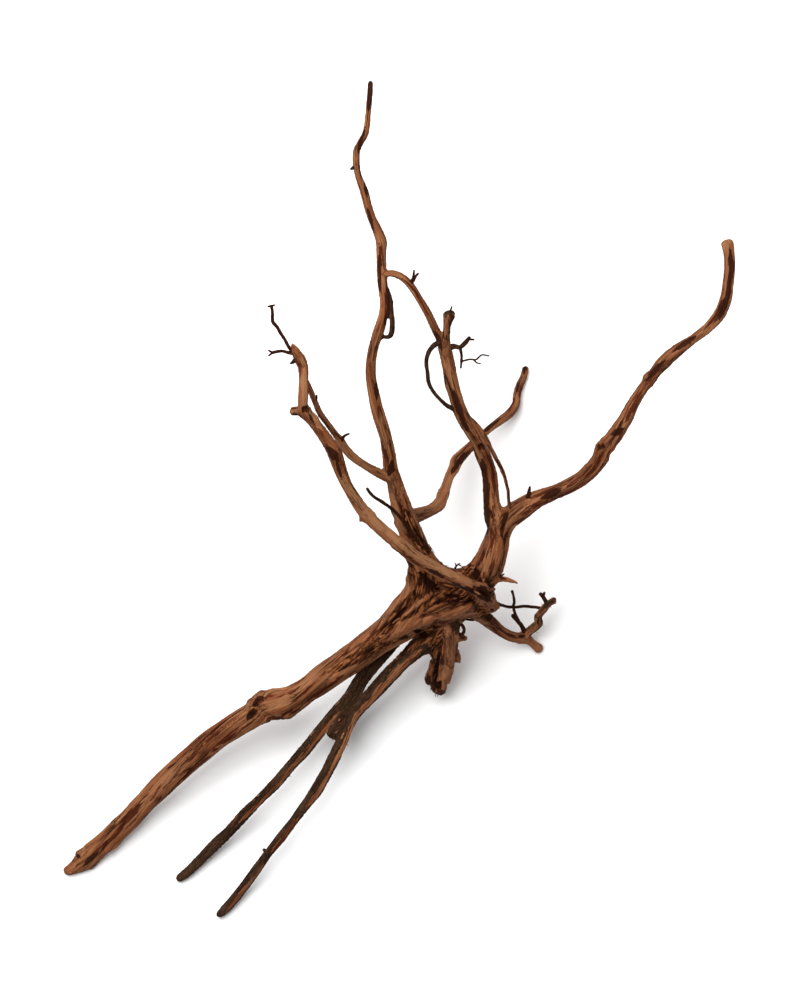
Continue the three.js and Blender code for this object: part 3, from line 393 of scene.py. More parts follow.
# What the photo shows on the wood's upper side, by kind and limb; a few red lines are painted shade.
MARKS = (
    Marks(MarkKind.KNOT, "long_root", (
        ((-97, -139.5, 3.2), (-93.5, -137, 3.4)),
        ((-93.5, -133.5, 2.8), (-90, -130, 3)))),
    Marks(MarkKind.DARK, "long_root", (
        ((-99, -143, 0.9), (-96.6, -140.5, 1.7), (-93.6, -138, 1.3)),
        ((-94, -133.6, 1.2), (-90.6, -129.6, 1.6), (-86.4, -127, 0.9)),
        ((-206, -239, 1), (-201, -234, 1.7), (-195, -229, 1)))),
    Marks(MarkKind.RED, "long_root", (
        ((-97, -136.6, 1), (-91, -131.4, 1.2), (-80, -124.4, 1)),
        ((-162, -189.6, 1.1), (-170, -199, 1.4), (-178, -207.3, 1.4), (-185, -216, 1.5), (-194, -225, 1.5),
         (-202, -232.6, 1.2)),
        ((-137, -168.6, 1), (-146.4, -177.4, 1.1), (-155, -186.2, 1), (-163, -197, 1)),
        # Painted shade along the long root's shaded lower edge.
        ((-121.6, -165, 1), (-144.6, -186, 1.1), (-167.6, -211, 1.2), (-185, -228.4, 1)),
        ((-112, -141.6, 1), (-119, -150, 1.3), (-127, -158, 1.2)),
        ((-103, -147, 1), (-114, -156.6, 1.3), (-122, -164, 1)),
        ((-127, -157.6, 1.1), (-133, -165, 1.3), (-139, -172, 1)),
        ((-80, -129, 0.8), (-69, -124.6, 0.9), (-62, -120, 0.9)),
        ((-60, -113.4, 1), (-51, -108, 1.3), (-43, -102, 1.3)),
        # Painted shade along the long root's shaded lower edge.
        ((-86, -145, 1), (-68, -137.4, 1.3), (-46, -121.4, 1.3), (-36, -113, 1.4)))),
    Marks(MarkKind.DARK, "long_root_lump", (
        ((-208.6, -231.6, 1.2),),)),
    Marks(MarkKind.BARK, TRUNK, (
        ((-44, -112, 1.6), (-32, -104.5, 3), (-22, -98.5, 3.6), (-10, -92, 3.4), (2, -88, 3)),
        ((-16, -90, 2), (-6, -81, 3), (2, -72, 3.6), (10, -64, 3.8), (18, -58, 4)),
        ((-2, -78, 2), (8, -72, 2.6), (20, -66, 3), (32, -62, 3.4)),
        ((8, -40, 5), (14, -50, 6.4), (22, -57, 6.6), (34, -61, 6), (47, -65, 4)),
        ((4, -8, 2), (10, -20, 3), (16, -34, 4.2), (18, -44, 5)),
        ((24, -86, 4), (13, -88.5, 4.6), (2, -97, 3.4), (-6, -105, 2)),
        ((24, -88, 4), (25, -97, 3.6), (22, -104, 2.4)),
        ((45, -47, 4), (51, -52, 4.8), (57, -56, 4)),
        ((52, -71, 2.6), (58, -77, 2.2)))),
    Marks(MarkKind.HOLLOW, TRUNK, (
        ((13, -47, 1.6), (19, -54, 2.2), (27, -59, 1.6)),
        ((30, -61.5, 1.4), (40, -64.5, 2), (47, -66, 1.5)),
        ((9, -84.5, 1.6), (15, -87.5, 2.2), (20, -88.5, 1.5)),
        ((48, -43, 1.4), (51, -50, 2), (54, -55, 1.4)),
        ((-7, -83, 1), (0, -75, 1.5), (5, -69, 1)))),
    Marks(MarkKind.HOLLOW, "stump", (
        ((27, -97, 0.8), (24.4, -108, 1.2), (22.6, -120, 1.5)),
        ((27.6, -117, 1.4), (25.4, -121, 2.2), (24, -124, 1.8)))),
    Marks(MarkKind.RIDGE, TRUNK, (
        ((-14, -92, 1.4), (0, -85.6, 1.8), (10, -80.5, 2.2), (24, -76.6, 2.3)),
        ((24, -76.6, 2.3), (38, -72.4, 2.1), (51, -67, 1.6)),
        ((3, -75.6, 0.9), (13, -67, 1.2), (23, -58.6, 0.9)),
        ((11, -75.6, 0.9), (21, -70.6, 1.2), (32, -65.6, 0.9)),
        ((66, -24, 1.6), (64.5, -36, 1.9), (60.5, -49, 1.5)))),
    Marks(MarkKind.RIDGE, "stump", (
        ((30.6, -80, 2.2), (33.5, -92, 2.3), (34, -104, 2.1), (31, -118, 1.9)),)),
    Marks(MarkKind.RIDGE, "tall_limb", (
        ((-3, 8, 1.2), (0, -8, 1.6), (4, -24, 2), (6, -36, 2)),)),
    Marks(MarkKind.RED, TRUNK, (
        ((62.4, -12, 1), (63.4, -18, 1.4), (61.6, -28, 1.6), (60.8, -38, 1.6), (58, -46, 1.3)),
        ((72, -17, 1), (68, -29.4, 1.3), (65.2, -38, 1)),
        ((57, -30, 1), (54, -38, 1.4), (50, -46, 1.4)),
        ((-30, -97, 1), (-18, -88.6, 1.4), (-8, -81, 1.4)),
        # Painted shade: the next two lines darken the shaded side below the trunk's light ridge, and the two
        # after them the dark line above it.
        ((8, -84, 1), (22, -80.6, 1.2), (34, -78, 1)),
        ((26, -83.6, 1), (40, -79.4, 1.3), (50, -73, 1)),
        ((12, -77, 0.8), (26, -73, 1), (40, -70, 0.9)),
        ((28, -70.6, 0.9), (38, -68.4, 1.1), (46, -66, 0.9)))),
    Marks(MarkKind.RED, "stump", (
        ((36, -90, 1.4), (37, -102, 1.6), (33, -114, 1.4)),
        ((27.6, -88, 1.6), (27, -98, 2), (28.6, -110, 1.6)))),
    Marks(MarkKind.DARK, "stump", (
        ((20, -118, 2), (24, -125.5, 3.4), (29.6, -124, 2.6)),)),
    Marks(MarkKind.RED, "stump_shoulder", (
        ((19, -86, 2), (18, -95, 2.4)),)),
    Marks(MarkKind.DARK, "stump_lobe", (
        ((19, -112, 1.2), (18.6, -117, 1.8), (20, -120.6, 1.8)),)),
    Marks(MarkKind.DARK, "tall_limb", (
        ((-7, 16, 1.8), (-5, 20, 2.4), (-4.4, 25, 2)),
        ((-14.4, 65, 1), (-14.4, 72, 1.2), (-15, 76, 0.8)),
        ((-4.6, 32, 0.9), (-6, 39, 0.9)),
        ((-19.6, 250, 0.9), (-18.6, 262, 1.6), (-18.3, 272, 2.6)),
        ((-8, 138, 1.1), (-7, 124, 1.3), (-9, 110, 1)),
        ((-22.4, 205, 1), (-21.2, 200, 1.4), (-20.4, 195, 0.9)),
        ((-20.8, 190, 0.9), (-18.6, 182, 1.1), (-16, 173, 0.9)),
        ((-21.6, 241, 0.8), (-24.8, 232, 1.1), (-26.4, 223, 0.9)),
        ((-12.6, 160, 0.8), (-12.6, 148, 0.9), (-11.8, 134, 0.8)))),
    Marks(MarkKind.RED, "tall_limb", (
        ((-12.6, 52, 1.2), (-13.6, 60, 1.5)),
        ((-9, 32, 1), (-6.6, 24, 1)),
        ((-12, 150, 1), (-12.6, 166, 1)),
        ((-24, 206, 1), (-26, 224, 1.2)))),
    Marks(MarkKind.RED, "bowed_limb", (
        ((0, 144.6, 0.9), (8, 137.6, 1), (14, 127.6, 1), (20, 117, 1)),
        ((51, 22, 1.2), (49, 30, 1.4), (47, 38, 1.2)),
        ((61, -16, 1.3), (61.6, 0, 1.2), (60.4, 18, 1.2)))),
    Marks(MarkKind.DARK, "bowed_limb", (
        ((57.8, -24, 1.7), (56.4, -5, 2), (56.2, 10, 2), (54, 26, 1.8)),
        ((45, 44, 1.3), (42, 50, 1.7), (38.4, 60, 1.7), (35, 72, 1.2)),
        ((27.6, 97, 1.4), (25.4, 104, 1.8), (22, 110, 1)))),
    Marks(MarkKind.KNOT, "bowed_limb", (
        ((52.5, 34, 2.4),),)),
    Marks(MarkKind.DARK, "knob_stub", (
        ((34, 115.5, 1.2), (34.4, 121, 1.6)),)),
    Marks(MarkKind.DARK, "reaching_limb", (
        ((72, -5.4, 0.9), (69.6, -9.6, 1.2), (67.8, -15, 1.2), (66.6, -21, 0.9), (65.8, -27, 0.8)),
        ((92, 0.8, 1.5), (99, 4, 2.3), (105, 7.4, 1.5)),
        ((137, 42.6, 1.9), (141.5, 43.6, 2.3), (145.6, 46.4, 1.9)),
        ((160, 77, 1.1), (166, 84, 1.5), (172, 90.4, 1.4)),
        ((177, 96, 1.3), (184, 101, 1.6), (193, 106.4, 1.2)),
        ((207, 117, 1.3), (212.6, 131, 1.6), (215, 150, 1.5), (214.6, 162, 1.3)))),
    Marks(MarkKind.RED, "reaching_limb", (
        ((74, -16, 1.2), (86, -10, 1.4), (98, -3, 1.2)),
        ((72, -10.5, 1.6), (84, -5.4, 1.7), (96, -0.4, 1.3)),
        ((108, 8, 1.2), (120, 16, 1.6), (128, 25, 1.6), (133, 32, 1.2)),
        ((146, 50, 1.4), (153, 63, 1.4), (158, 72, 1.2)),
        ((196, 108, 1), (206, 119, 1.3), (211, 131, 1.3)))),
    Marks(MarkKind.KNOT, "reaching_limb", (
        ((130, 34, 2.6),),)),
    Marks(MarkKind.PALE, "reaching_limb", (
        ((212.6, 165, 3), (212.4, 169, 4)),)),
    Marks(MarkKind.PALE, "over_limb", (
        ((38, -49.6, 2.2), (20, -40.4, 2.6), (0, -26.6, 2.6), (-20, -8.6, 2.4)),
        ((-20, -8.6, 2.4), (-30, 4, 2), (-39, 18, 1.8)),
        ((-50, 46, 1.8), (-60, 62, 1.6), (-61.6, 84, 1.8)))),
    Marks(MarkKind.DARK, "over_limb", (
        ((-39, 25, 2), (-43.6, 30.6, 2.8), (-47.4, 33.4, 1.8)),
        ((-40.4, 25, 1.2), (-37, 13, 0.9)),
        ((18, -44, 0.9), (29, -50, 1.3)),
        ((34, -53.4, 1.2), (43, -58, 1.8), (49, -61, 2.4)),
        ((51, -59, 3), (55, -61, 4.4), (59, -62.6, 4.4)),
        ((-54.5, 49, 1), (-58.4, 56, 1.1)))),
    Marks(MarkKind.RED, "over_limb", (
        ((-5, -29.6, 1), (8, -39, 1.1), (18, -45, 1)),)),
    Marks(MarkKind.BARK, "over_limb", (
        ((50, -59.6, 3.4), (56, -61, 4.6), (60, -62.6, 4)),)),
    Marks(MarkKind.HOLLOW, "over_limb", (
        ((53.6, -60, 2.4), (57.6, -62.4, 2.6)),)),
    Marks(MarkKind.KNOT, "over_limb", (
        ((-60.6, 58.4, 2),),)),
    Marks(MarkKind.PALE, "torn_end", (
        ((58, -69, 2.2), (62, -73, 2)),)),
    Marks(MarkKind.HOLLOW, "torn_end", (
        ((55.6, -67, 1.3), (58.6, -69.6, 1.4)),)),
    Marks(MarkKind.DARK, "torn_end", (
        ((60.4, -71.4, 1.1),),)),
    Marks(MarkKind.DARK, "low_limb", (
        ((34, 17, 1.2), (38, 24, 1.5), (46, 32, 1.3)),
        ((53, 42.6, 1), (60, 48.6, 1.2), (66, 53, 1)),
        ((76, 69, 1), (78.6, 77, 1.2)),
        ((81.4, 83, 1.4), (82.6, 88.5, 2.8)))),
    Marks(MarkKind.RED, "low_limb", (
        ((70, 55, 1), (77, 68, 1.2), (80, 78, 1)),)),
    Marks(MarkKind.RED, "prop_root", (
        ((56, -77.6, 1.4), (66, -86, 1.3), (76, -90, 1.2)),)),
    Marks(MarkKind.DARK, "prop_root", (
        ((78, -88.6, 1.6), (82.4, -88.4, 1.6)),)),
    Marks(MarkKind.DARK, "prop_fork", (
        ((90, -80, 1.6), (91, -76, 1.4)),)),
    Marks(MarkKind.PEELED, "near_root", (
        ((-37.6, -137.7, 1.2), (-48.7, -149.5, 1.5), (-58.7, -161.9, 1.5), (-68.7, -173.4, 1.4),
         (-78.7, -185.1, 1.2), (-89, -195.6, 1), (-104, -209.6, 0.9)),)),
    Marks(MarkKind.PEELED, "far_root", (
        ((14, -97, 2), (2.9, -107.6, 2.1), (-7.3, -118.6, 2), (-17.8, -129.8, 1.8), (-27, -139.6, 1.7),
         (-31.3, -147.9, 1.5), (-33.4, -154, 1.4), (-37.4, -162, 1.3), (-41.6, -171, 1.4), (-47, -181, 1.4),
         (-52.9, -190.6, 1.2), (-60.6, -200.6, 1)),
        ((-65, -205.6, 1), (-67.9, -210.3, 1.1), (-75.7, -220.6, 1.3), (-83.7, -230.8, 1.2)),
        ((-88, -237, 1.1), (-98.2, -250.8, 1.4), (-106.2, -261, 1.4), (-113, -269, 1.1)))),
)


def smooth_step(low: float, high: float, value: Array) -> Array:
    """Rises smoothly from 0 at low to 1 at high.

    Args:
        low: Value at which the result leaves 0.
        high: Value at which the result reaches 1. It may lie below low.
        value: The values to map.

    Returns:
        The mapped values, from 0 to 1.
    """
    share = np.clip((value - low) / (high - low), 0.0, 1.0)
    return share * share * (3.0 - 2.0 * share)


def lattice(cell: Array, seed: int) -> Array:
    """A repeatable random number from -1 to 1 for each whole-number cell.

    Args:
        cell: Cell numbers, one row of three for each point.
        seed: Which of many unlike patterns to use.

    Returns:
        One number for each row, from a whole-number hash.
    """
    c = cell.astype(np.int64).astype(np.uint32)
    h = c[:, 0] * np.uint32(73856093) ^ c[:, 1] * np.uint32(19349663) ^ c[:, 2] * np.uint32(83492791)
    h = h ^ np.uint32((seed * 2654435761) & 0xFFFFFFFF)
    h = (h ^ (h >> np.uint32(15))) * np.uint32(2246822519)
    h = (h ^ (h >> np.uint32(13))) * np.uint32(3266489917)
    h = h ^ (h >> np.uint32(16))
    return (h & np.uint32(0xFFFFFF)).astype(np.float64) / float(0x7FFFFF) - 1.0


def noise(place: Array, seed: int) -> Array:
    """Smooth noise: the lattice's numbers, blended over each cell with a smooth weight.

    Args:
        place: Points, one row of three each, in cells.
        seed: Which pattern to use.

    Returns:
        One value for each point, from -1 to 1.
    """
    base = np.floor(place)
    part = place - base
    weight = part * part * (3.0 - 2.0 * part)
    total = np.zeros(len(place))
    for corner in np.ndindex(2, 2, 2):
        step = np.array(corner)
        share = np.prod(np.where(step == 1, weight, 1.0 - weight), axis=1)
        total += share * lattice(base + step, seed)
    return total


def layered(place: Array, seed: int, layers: int = 3) -> Array:
    """Noise in layers, each twice as fine and half as strong as the one before.

    Args:
        place: Points, one row of three each, in cells of the coarsest layer.
        seed: Which pattern to use.
        layers: How many layers are added up.

    Returns:
        One value for each point, about -1 to 1.
    """
    total = np.zeros(len(place))
    for layer in range(layers):
        total += noise(place * 2.0**layer + 17.0 * layer, seed + layer) / 2.0**layer
    return total / (2.0 - 2.0 ** (1 - layers))


@dataclass
class Path:
    """A limb's centreline at even steps, with its frame, radius and distance along, in mm."""

    limb: Limb
    centre: Array
    tangent: Array
    normal: Array
    side: Array
    radius: Array
    along: Array
    grain_start: float = 0.0
    grain_turn: float = 0.0

    @classmethod
    def through(cls, limb: Limb, step: float) -> "Path":
        """Carries a smooth line through a limb's route.

        The line between two route points is the cubic that meets both with slopes from their
        neighbours, with each stretch timed by the square root of its length.

        Args:
            limb: The limb whose route is followed.
            step: Distance between two places on the path, in mm.

        Returns:
            The path, with a frame carried along it that never spins.
        """
        rows = np.array(limb.route, dtype=float)
        points, radii = rows[:, :3] - MIDDLE, rows[:, 3]
        padded = np.vstack([2 * points[0] - points[1], points, 2 * points[-1] - points[-2]])
        p0, p1, p2, p3 = padded[:-3], padded[1:-2], padded[2:-1], padded[3:]
        t0, t1, t2 = (np.sqrt(np.linalg.norm(b - a, axis=1))[:, None]
                      for a, b in ((p0, p1), (p1, p2), (p2, p3)))
        start = ((p1 - p0) / t0 - (p2 - p0) / (t0 + t1) + (p2 - p1) / t1) * t1
        end = ((p2 - p1) / t1 - (p3 - p1) / (t1 + t2) + (p3 - p2) / t2) * t1
        u = (np.arange(STRETCH_STEPS) / STRETCH_STEPS)[None, :, None]
        a, b, c, d = (v[:, None, :] for v in (p1, p2, start, end))
        curve = a + c * u + (3 * (b - a) - 2 * c - d) * u**2 + (2 * (a - b) + c + d) * u**3
        dense = np.vstack([curve.reshape(-1, 3), points[-1]])
        dense_radius = np.interp(np.arange(len(dense)) / STRETCH_STEPS, np.arange(len(radii)), radii)
        dense_along = np.concatenate([[0.0], np.cumsum(np.linalg.norm(np.diff(dense, axis=0), axis=1))])
        count = max(FEWEST_PLACES, int(round(dense_along[-1] / step)) + 1)
        along = np.linspace(0.0, dense_along[-1], count)
        centre = np.stack([np.interp(along, dense_along, dense[:, axis]) for axis in range(3)], axis=1)
        radius = np.interp(along, dense_along, dense_radius)
        tangent = np.gradient(centre, along, axis=0)
        tangent /= np.linalg.norm(tangent, axis=1, keepdims=True)
        normal, side = cls.carried_frame(tangent)
        return cls(limb, centre, tangent, normal, side, radius, along)

    def carry_on(self, parent: "Path") -> None:
        """Takes over the grain of the limb that this one grows out of, from where it leaves it.

        Args:
            parent: The other limb's path.
        """
        at = int(np.argmin(np.linalg.norm(parent.centre - self.centre[0], axis=1)))
        turn = GRAIN_TWIST * parent.along[at] + parent.grain_turn
        across = math.cos(turn) * parent.normal[at] - math.sin(turn) * parent.side[at]
        self.grain_start = parent.grain_start + float(parent.along[at])
        self.grain_turn = math.atan2(-float(across @ self.side[0]), float(across @ self.normal[0]))

    @staticmethod
    def carried_frame(tangent: Array) -> tuple[Array, Array]:
        """Carries one direction across a path, turning it only as the path turns.

        Args:
            tangent: The path's unit direction at each place.

        Returns:
            Two unit directions at each place, square to the path and to each other.
        """
        first = tangent[0]
        helper = np.eye(3)[int(np.argmin(np.abs(first)))]
        across = np.cross(first, helper)
        current = np.cross(first, across / np.linalg.norm(across))
        normal = np.empty_like(tangent)
        for i, direction in enumerate(tangent):
            current = current - direction * np.dot(current, direction)
            current = current / np.linalg.norm(current)
            normal[i] = current
        return normal, np.cross(tangent, normal)

    def lobes(self, along: Array, angle: Array) -> Array:
        """Share of the plain radius that the section's shallow lobes give.

        Args:
            along: Distance along the limb in mm.
            angle: Angle round the limb.

        Returns:
            The share, about 0.85 to 1.15, as in the CAD source.
        """
        phase = self.limb.lobe_index * LOBE_PHASE
        share = np.ones(np.broadcast(along, angle).shape)
        for count, depth, turns in LOBES:
            share = share + depth * np.sin(count * (angle + 2 * math.pi * turns * along) + phase * count)
        return share


@dataclass
class Skin:
    """Points and faces of a surface that is being built, in mm."""

    points: Array
    faces: Array

    @staticmethod
    def swept(path: Path, sides: int, radius: Array | None = None, flat: float = 1.0) -> "Skin":
        """A closed tube: a ring of points at each place on the path, and a point at each end.

        Args:
            path: The path to follow.
            sides: Points in a ring.
            radius: Radius at each place and angle in mm. Without it, the path's own with its lobes.
            flat: Height of the section as a share of its width.

        Returns:
            The tube, facing out.
        """
        angle = np.arange(sides) * 2 * math.pi / sides
        if radius is None:
            radius = path.radius[:, None] * path.lobes(path.along[:, None], angle[None, :])
        ends = ((path.along, path.radius[0]), (path.along[-1] - path.along, path.radius[-1]))
        for distance, end_radius in ends:
            share = np.clip(distance / max(END_REACH * end_radius, TINY), 0, 1)
            rounding = np.sqrt(np.clip(1.0 - (1.0 - share) ** 2, END_LEAST, 1.0))
            radius = radius * rounding[:, None]
        ring = (np.cos(angle)[None, :, None] * path.normal[:, None, :]
                + flat * np.sin(angle)[None, :, None] * path.side[:, None, :])
        grid = path.centre[:, None, :] + radius[:, :, None] * ring
        rings = len(path.centre)
        points = np.vstack([grid.reshape(-1, 3), path.centre[0], path.centre[-1]])
        row, column = np.meshgrid(np.arange(rings - 1), np.arange(sides), indexing="ij")
        after = (column + 1) % sides
        a, b = row * sides + column, row * sides + after
        c, d = (row + 1) * sides + after, (row + 1) * sides + column
        walls = np.stack([np.stack([a, b, c], -1), np.stack([a, c, d], -1)], axis=2).reshape(-1, 3)
        turn = np.arange(sides)
        start = np.stack([np.full(sides, rings * sides), (turn + 1) % sides, turn], axis=1)
        last = (rings - 1) * sides
        end = np.stack([np.full(sides, rings * sides + 1), last + turn, last + (turn + 1) % sides], axis=1)
        return Skin(points, np.vstack([walls, start, end]))

    @staticmethod
    def joined(skins: list["Skin"]) -> "Skin":
        """Several skins as one, side by side and not yet grown together."""
        offsets = np.concatenate([[0], np.cumsum([len(s.points) for s in skins])[:-1]])
        return Skin(np.vstack([s.points for s in skins]),
                    np.vstack([s.faces + offset for s, offset in zip(skins, offsets)]))

    def to_object(self, name: str) -> bpy.types.Object:
        """A Blender object with this surface, in metres, with its object at the origin.

        Args:
            name: The object's name.

        Returns:
            The object, linked to the scene and shaded smooth.
        """
        mesh = bpy.data.meshes.new(name)
        mesh.vertices.add(len(self.points))
        mesh.vertices.foreach_set("co", (self.points * MM).astype(np.float32).ravel())
        mesh.loops.add(len(self.faces) * 3)
        mesh.loops.foreach_set("vertex_index", self.faces.astype(np.int32).ravel())
        mesh.polygons.add(len(self.faces))
        mesh.polygons.foreach_set("loop_start", np.arange(0, len(self.faces) * 3, 3, dtype=np.int32))
        mesh.update(calc_edges=True)
        mesh.validate()
        mesh.shade_smooth()
        piece = bpy.data.objects.new(name, mesh)
        bpy.context.scene.collection.objects.link(piece)
        return piece


@dataclass
class Place:
    """Where points lie on the limbs: along, across and how near, for the nearest and the next limb.

    The last row says how far the outward directions from the two limbs agree, from -1 to 1.
    """

    limb: Array
    along: Array
    across: Array
    radius: Array
    depth: Array
    next_limb: Array
    next_along: Array
    next_across: Array
    next_radius: Array
    next_depth: Array
    facing: Array


class LimbMap:
    """Finds the limb that a point of the surface belongs to, and its straightened place on it."""

    def __init__(self, paths: list[Path]) -> None:
        """Gathers the paths' places into flat arrays.

        Args:
            paths: The paths of all limbs in the skin.
        """
        self.paths = paths
        self.centre = np.vstack([p.centre for p in paths])
        self.tangent = np.vstack([p.tangent for p in paths])
        self.normal = np.vstack([p.normal for p in paths])
        self.side = np.vstack([p.side for p in paths])
        self.radius = np.concatenate([p.radius for p in paths])
        self.along = np.concatenate([p.along for p in paths])
        self.owner = np.concatenate([np.full(len(p.along), i) for i, p in enumerate(paths)])

    def nearest_samples(self, points: Array) -> tuple[Array, Array]:
        """The nearest place on the nearest limb, and on the next nearest one.

        Nearness is the distance to the centreline less the limb's radius there.

        Args:
            points: Points in mm.

        Returns:
            Two arrays of place numbers.
        """
        first = np.empty(len(points), dtype=np.int64)
        second = np.empty(len(points), dtype=np.int64)
        centre = self.centre.astype(np.float32)
        squared = (centre**2).sum(axis=1)
        radius = self.radius.astype(np.float32)
        for begin in range(0, len(points), LIMB_CHUNK):
            part = points[begin:begin + LIMB_CHUNK].astype(np.float32)
            gap = (part**2).sum(axis=1)[:, None] + squared[None, :] - 2.0 * part @ centre.T
            gap = np.sqrt(np.maximum(gap, 0.0)) - radius[None, :]
            near = np.argmin(gap, axis=1)
            gap[self.owner[None, :] == self.owner[near][:, None]] = np.inf
            first[begin:begin + LIMB_CHUNK] = near
            second[begin:begin + LIMB_CHUNK] = np.argmin(gap, axis=1)
        return first, second

    def local(self, points: Array, sample: Array) -> tuple[Array, Array, Array]:
        """A point's place as seen from a place on a path.

        Args:
            points: Points in mm.
            sample: The path place to measure from, for each point.

        Returns:
            Distance along the limb, the two distances across it, and the depth outside its radius.
        """
        offset = points - self.centre[sample]
        ahead = (offset * self.tangent[sample]).sum(axis=1)
        across = np.stack([(offset * self.normal[sample]).sum(axis=1),
                           (offset * self.side[sample]).sum(axis=1)], axis=1)
        depth = np.linalg.norm(across, axis=1) - self.radius[sample]
        return self.along[sample] + ahead, across, depth

    def place(self, points: Array) -> Place:
        """The straightened place of each point on its nearest and its next limb."""
        first, second = self.nearest_samples(points)
        along, across, depth = self.local(points, first)
        next_along, next_across, next_depth = self.local(points, second)
        facing = (self.outward(first, across) * self.outward(second, next_across)).sum(axis=1)
        return Place(self.owner[first], along, across, self.radius[first], depth,
                     self.owner[second], next_along, next_across, self.radius[second], next_depth, facing)

    def outward(self, sample: Array, across: Array) -> Array:
        """The unit direction from a path's place out to each point."""
        out = across[:, :1] * self.normal[sample] + across[:, 1:] * self.side[sample]
        return out / np.maximum(np.linalg.norm(out, axis=1, keepdims=True), 1e-9)


# The masks' names. The crevice mask is painted shade, and the stain mask is partly painted shade in hollows.
MASKS = ("bark", "stain", "red", "pale", "torn", "crevice")


@dataclass
class Masks:
    """What the finish reads at each point of a surface, from 0 to 1.

    The crevice mask is painted shade in grooves and pits. The stain mask holds dark stains, and
    painted shade inside hollows.
    """

    bark: Array
    stain: Array
    red: Array
    pale: Array
    torn: Array
    crevice: Array

    def write(self, mesh: bpy.types.Mesh, place: Array) -> None:
        """Puts the masks and the straightened place into the mesh as attributes.

        Args:
            mesh: The mesh to write to.
            place: Straightened place of each vertex in mm: along the limb, then across it.
        """
        for name in MASKS:
            values = np.clip(getattr(self, name), 0.0, 1.0).astype(np.float32)
            layer = mesh.attributes.new(name, "FLOAT", "POINT")
            layer.data.foreach_set("value", values)
        layer = mesh.attributes.new("grain_place", "FLOAT_VECTOR", "POINT")
        layer.data.foreach_set("vector", place.astype(np.float32).ravel())


@dataclass
class MarkMap:
    """Works out how strongly each kind of mark covers a point. Lengths are in mm.

    A mark narrows over taper_reach at its ends, to taper_least as the square of its width there.
    A difference in height counts less than one in plan, since the relief moves the surface.
    """

    paths: dict[str, Path]
    fewest_spots: int = 3
    taper_reach: float = 5.0
    taper_least: float = 0.12
    far_below: float = 1e3
    height_share: float = 0.45
    edge_share: float = 0.45
    edge_outer: float = 1.5
    edge_inner: float = 0.7
    spots: dict[MarkKind, tuple[Array, Array]] = field(init=False)

    def __post_init__(self) -> None:
        """Lays each mark's line on its limb, where the limb is highest seen from above."""
        self.spots = {}
        for kind in MarkKind:
            rows = [self.laid(line, kind, self.carriers(marks.limb))
                    for marks in MARKS if marks.kind is kind for line in marks.lines]
            spots = np.vstack(rows)
            self.spots[kind] = (spots[:, :3], spots[:, 3])

    def carriers(self, limb: str) -> list[Path]:
        """The paths that a mark on a limb, or on the trunk, may lie on."""
        return [self.paths[name] for name in (TRUNK_LIMBS if limb == TRUNK else (limb,))]

    def laid(self, line: Line, kind: MarkKind, paths: list[Path]) -> Array:
        """A mark's line as spots about 1 mm apart on the highest surface seen from above.

        Args:
            line: The mark's rows, as seen from above.
            kind: The kind of mark. All but bark narrow at their ends.
            paths: The paths of the limbs that it may lie on.

        Returns:
            Rows of x, y, height and half width in mm.
        """
        rows = np.array(line, dtype=float)
        seen = rows[:, :2] - MIDDLE[:2]
        width = rows[:, 2]
        if len(rows) > 1:
            reach = np.concatenate([[0], np.cumsum(np.linalg.norm(np.diff(seen, axis=0), axis=1))])
            at = np.linspace(0, reach[-1], max(self.fewest_spots, int(reach[-1])))
            seen = np.stack([np.interp(at, reach, seen[:, k]) for k in range(2)], axis=1)
            near_end = np.minimum(at, reach[-1] - at) / self.taper_reach
            taper = np.sqrt(np.clip(near_end, self.taper_least, 1.0))
            width = np.interp(at, reach, width) * (taper if kind is not MarkKind.BARK else 1.0)
        centre = np.vstack([path.centre for path in paths])
        radius = np.concatenate([path.radius for path in paths])[None, :]
        gap = np.linalg.norm(seen[:, None, :] - centre[None, :, :2], axis=2)
        rise = np.sqrt(np.maximum(radius**2 - gap**2, 0.0))
        top = np.where(gap < radius, centre[None, :, 2] + rise, radius - gap - self.far_below)
        highest = np.argmax(top, axis=1)
        height = centre[highest, 2] + rise[np.arange(len(seen)), highest]
        return np.column_stack([seen, height, width])

    def cover(self, kind: MarkKind, points: Array, edge: Array) -> Array:
        """How strongly marks of one kind cover each point.

        Args:
            kind: The kind of mark.
            points: Points in mm.
            edge: Noise that makes the marks' edges ragged, about -1 to 1.

        Returns:
            From 0, off the mark, to 1, on it.
        """
        spots, width = self.spots[kind]
        flatter = np.array([1.0, 1.0, self.height_share])
        share = np.empty(len(points))
        for begin in range(0, len(points), MARK_CHUNK):
            part = points[begin:begin + MARK_CHUNK]
            gap = np.linalg.norm((part[:, None, :] - spots[None, :, :]) * flatter, axis=2) / width[None, :]
            share[begin:begin + MARK_CHUNK] = gap.min(axis=1)
        return smooth_step(self.edge_outer, self.edge_inner, share + self.edge_share * edge)


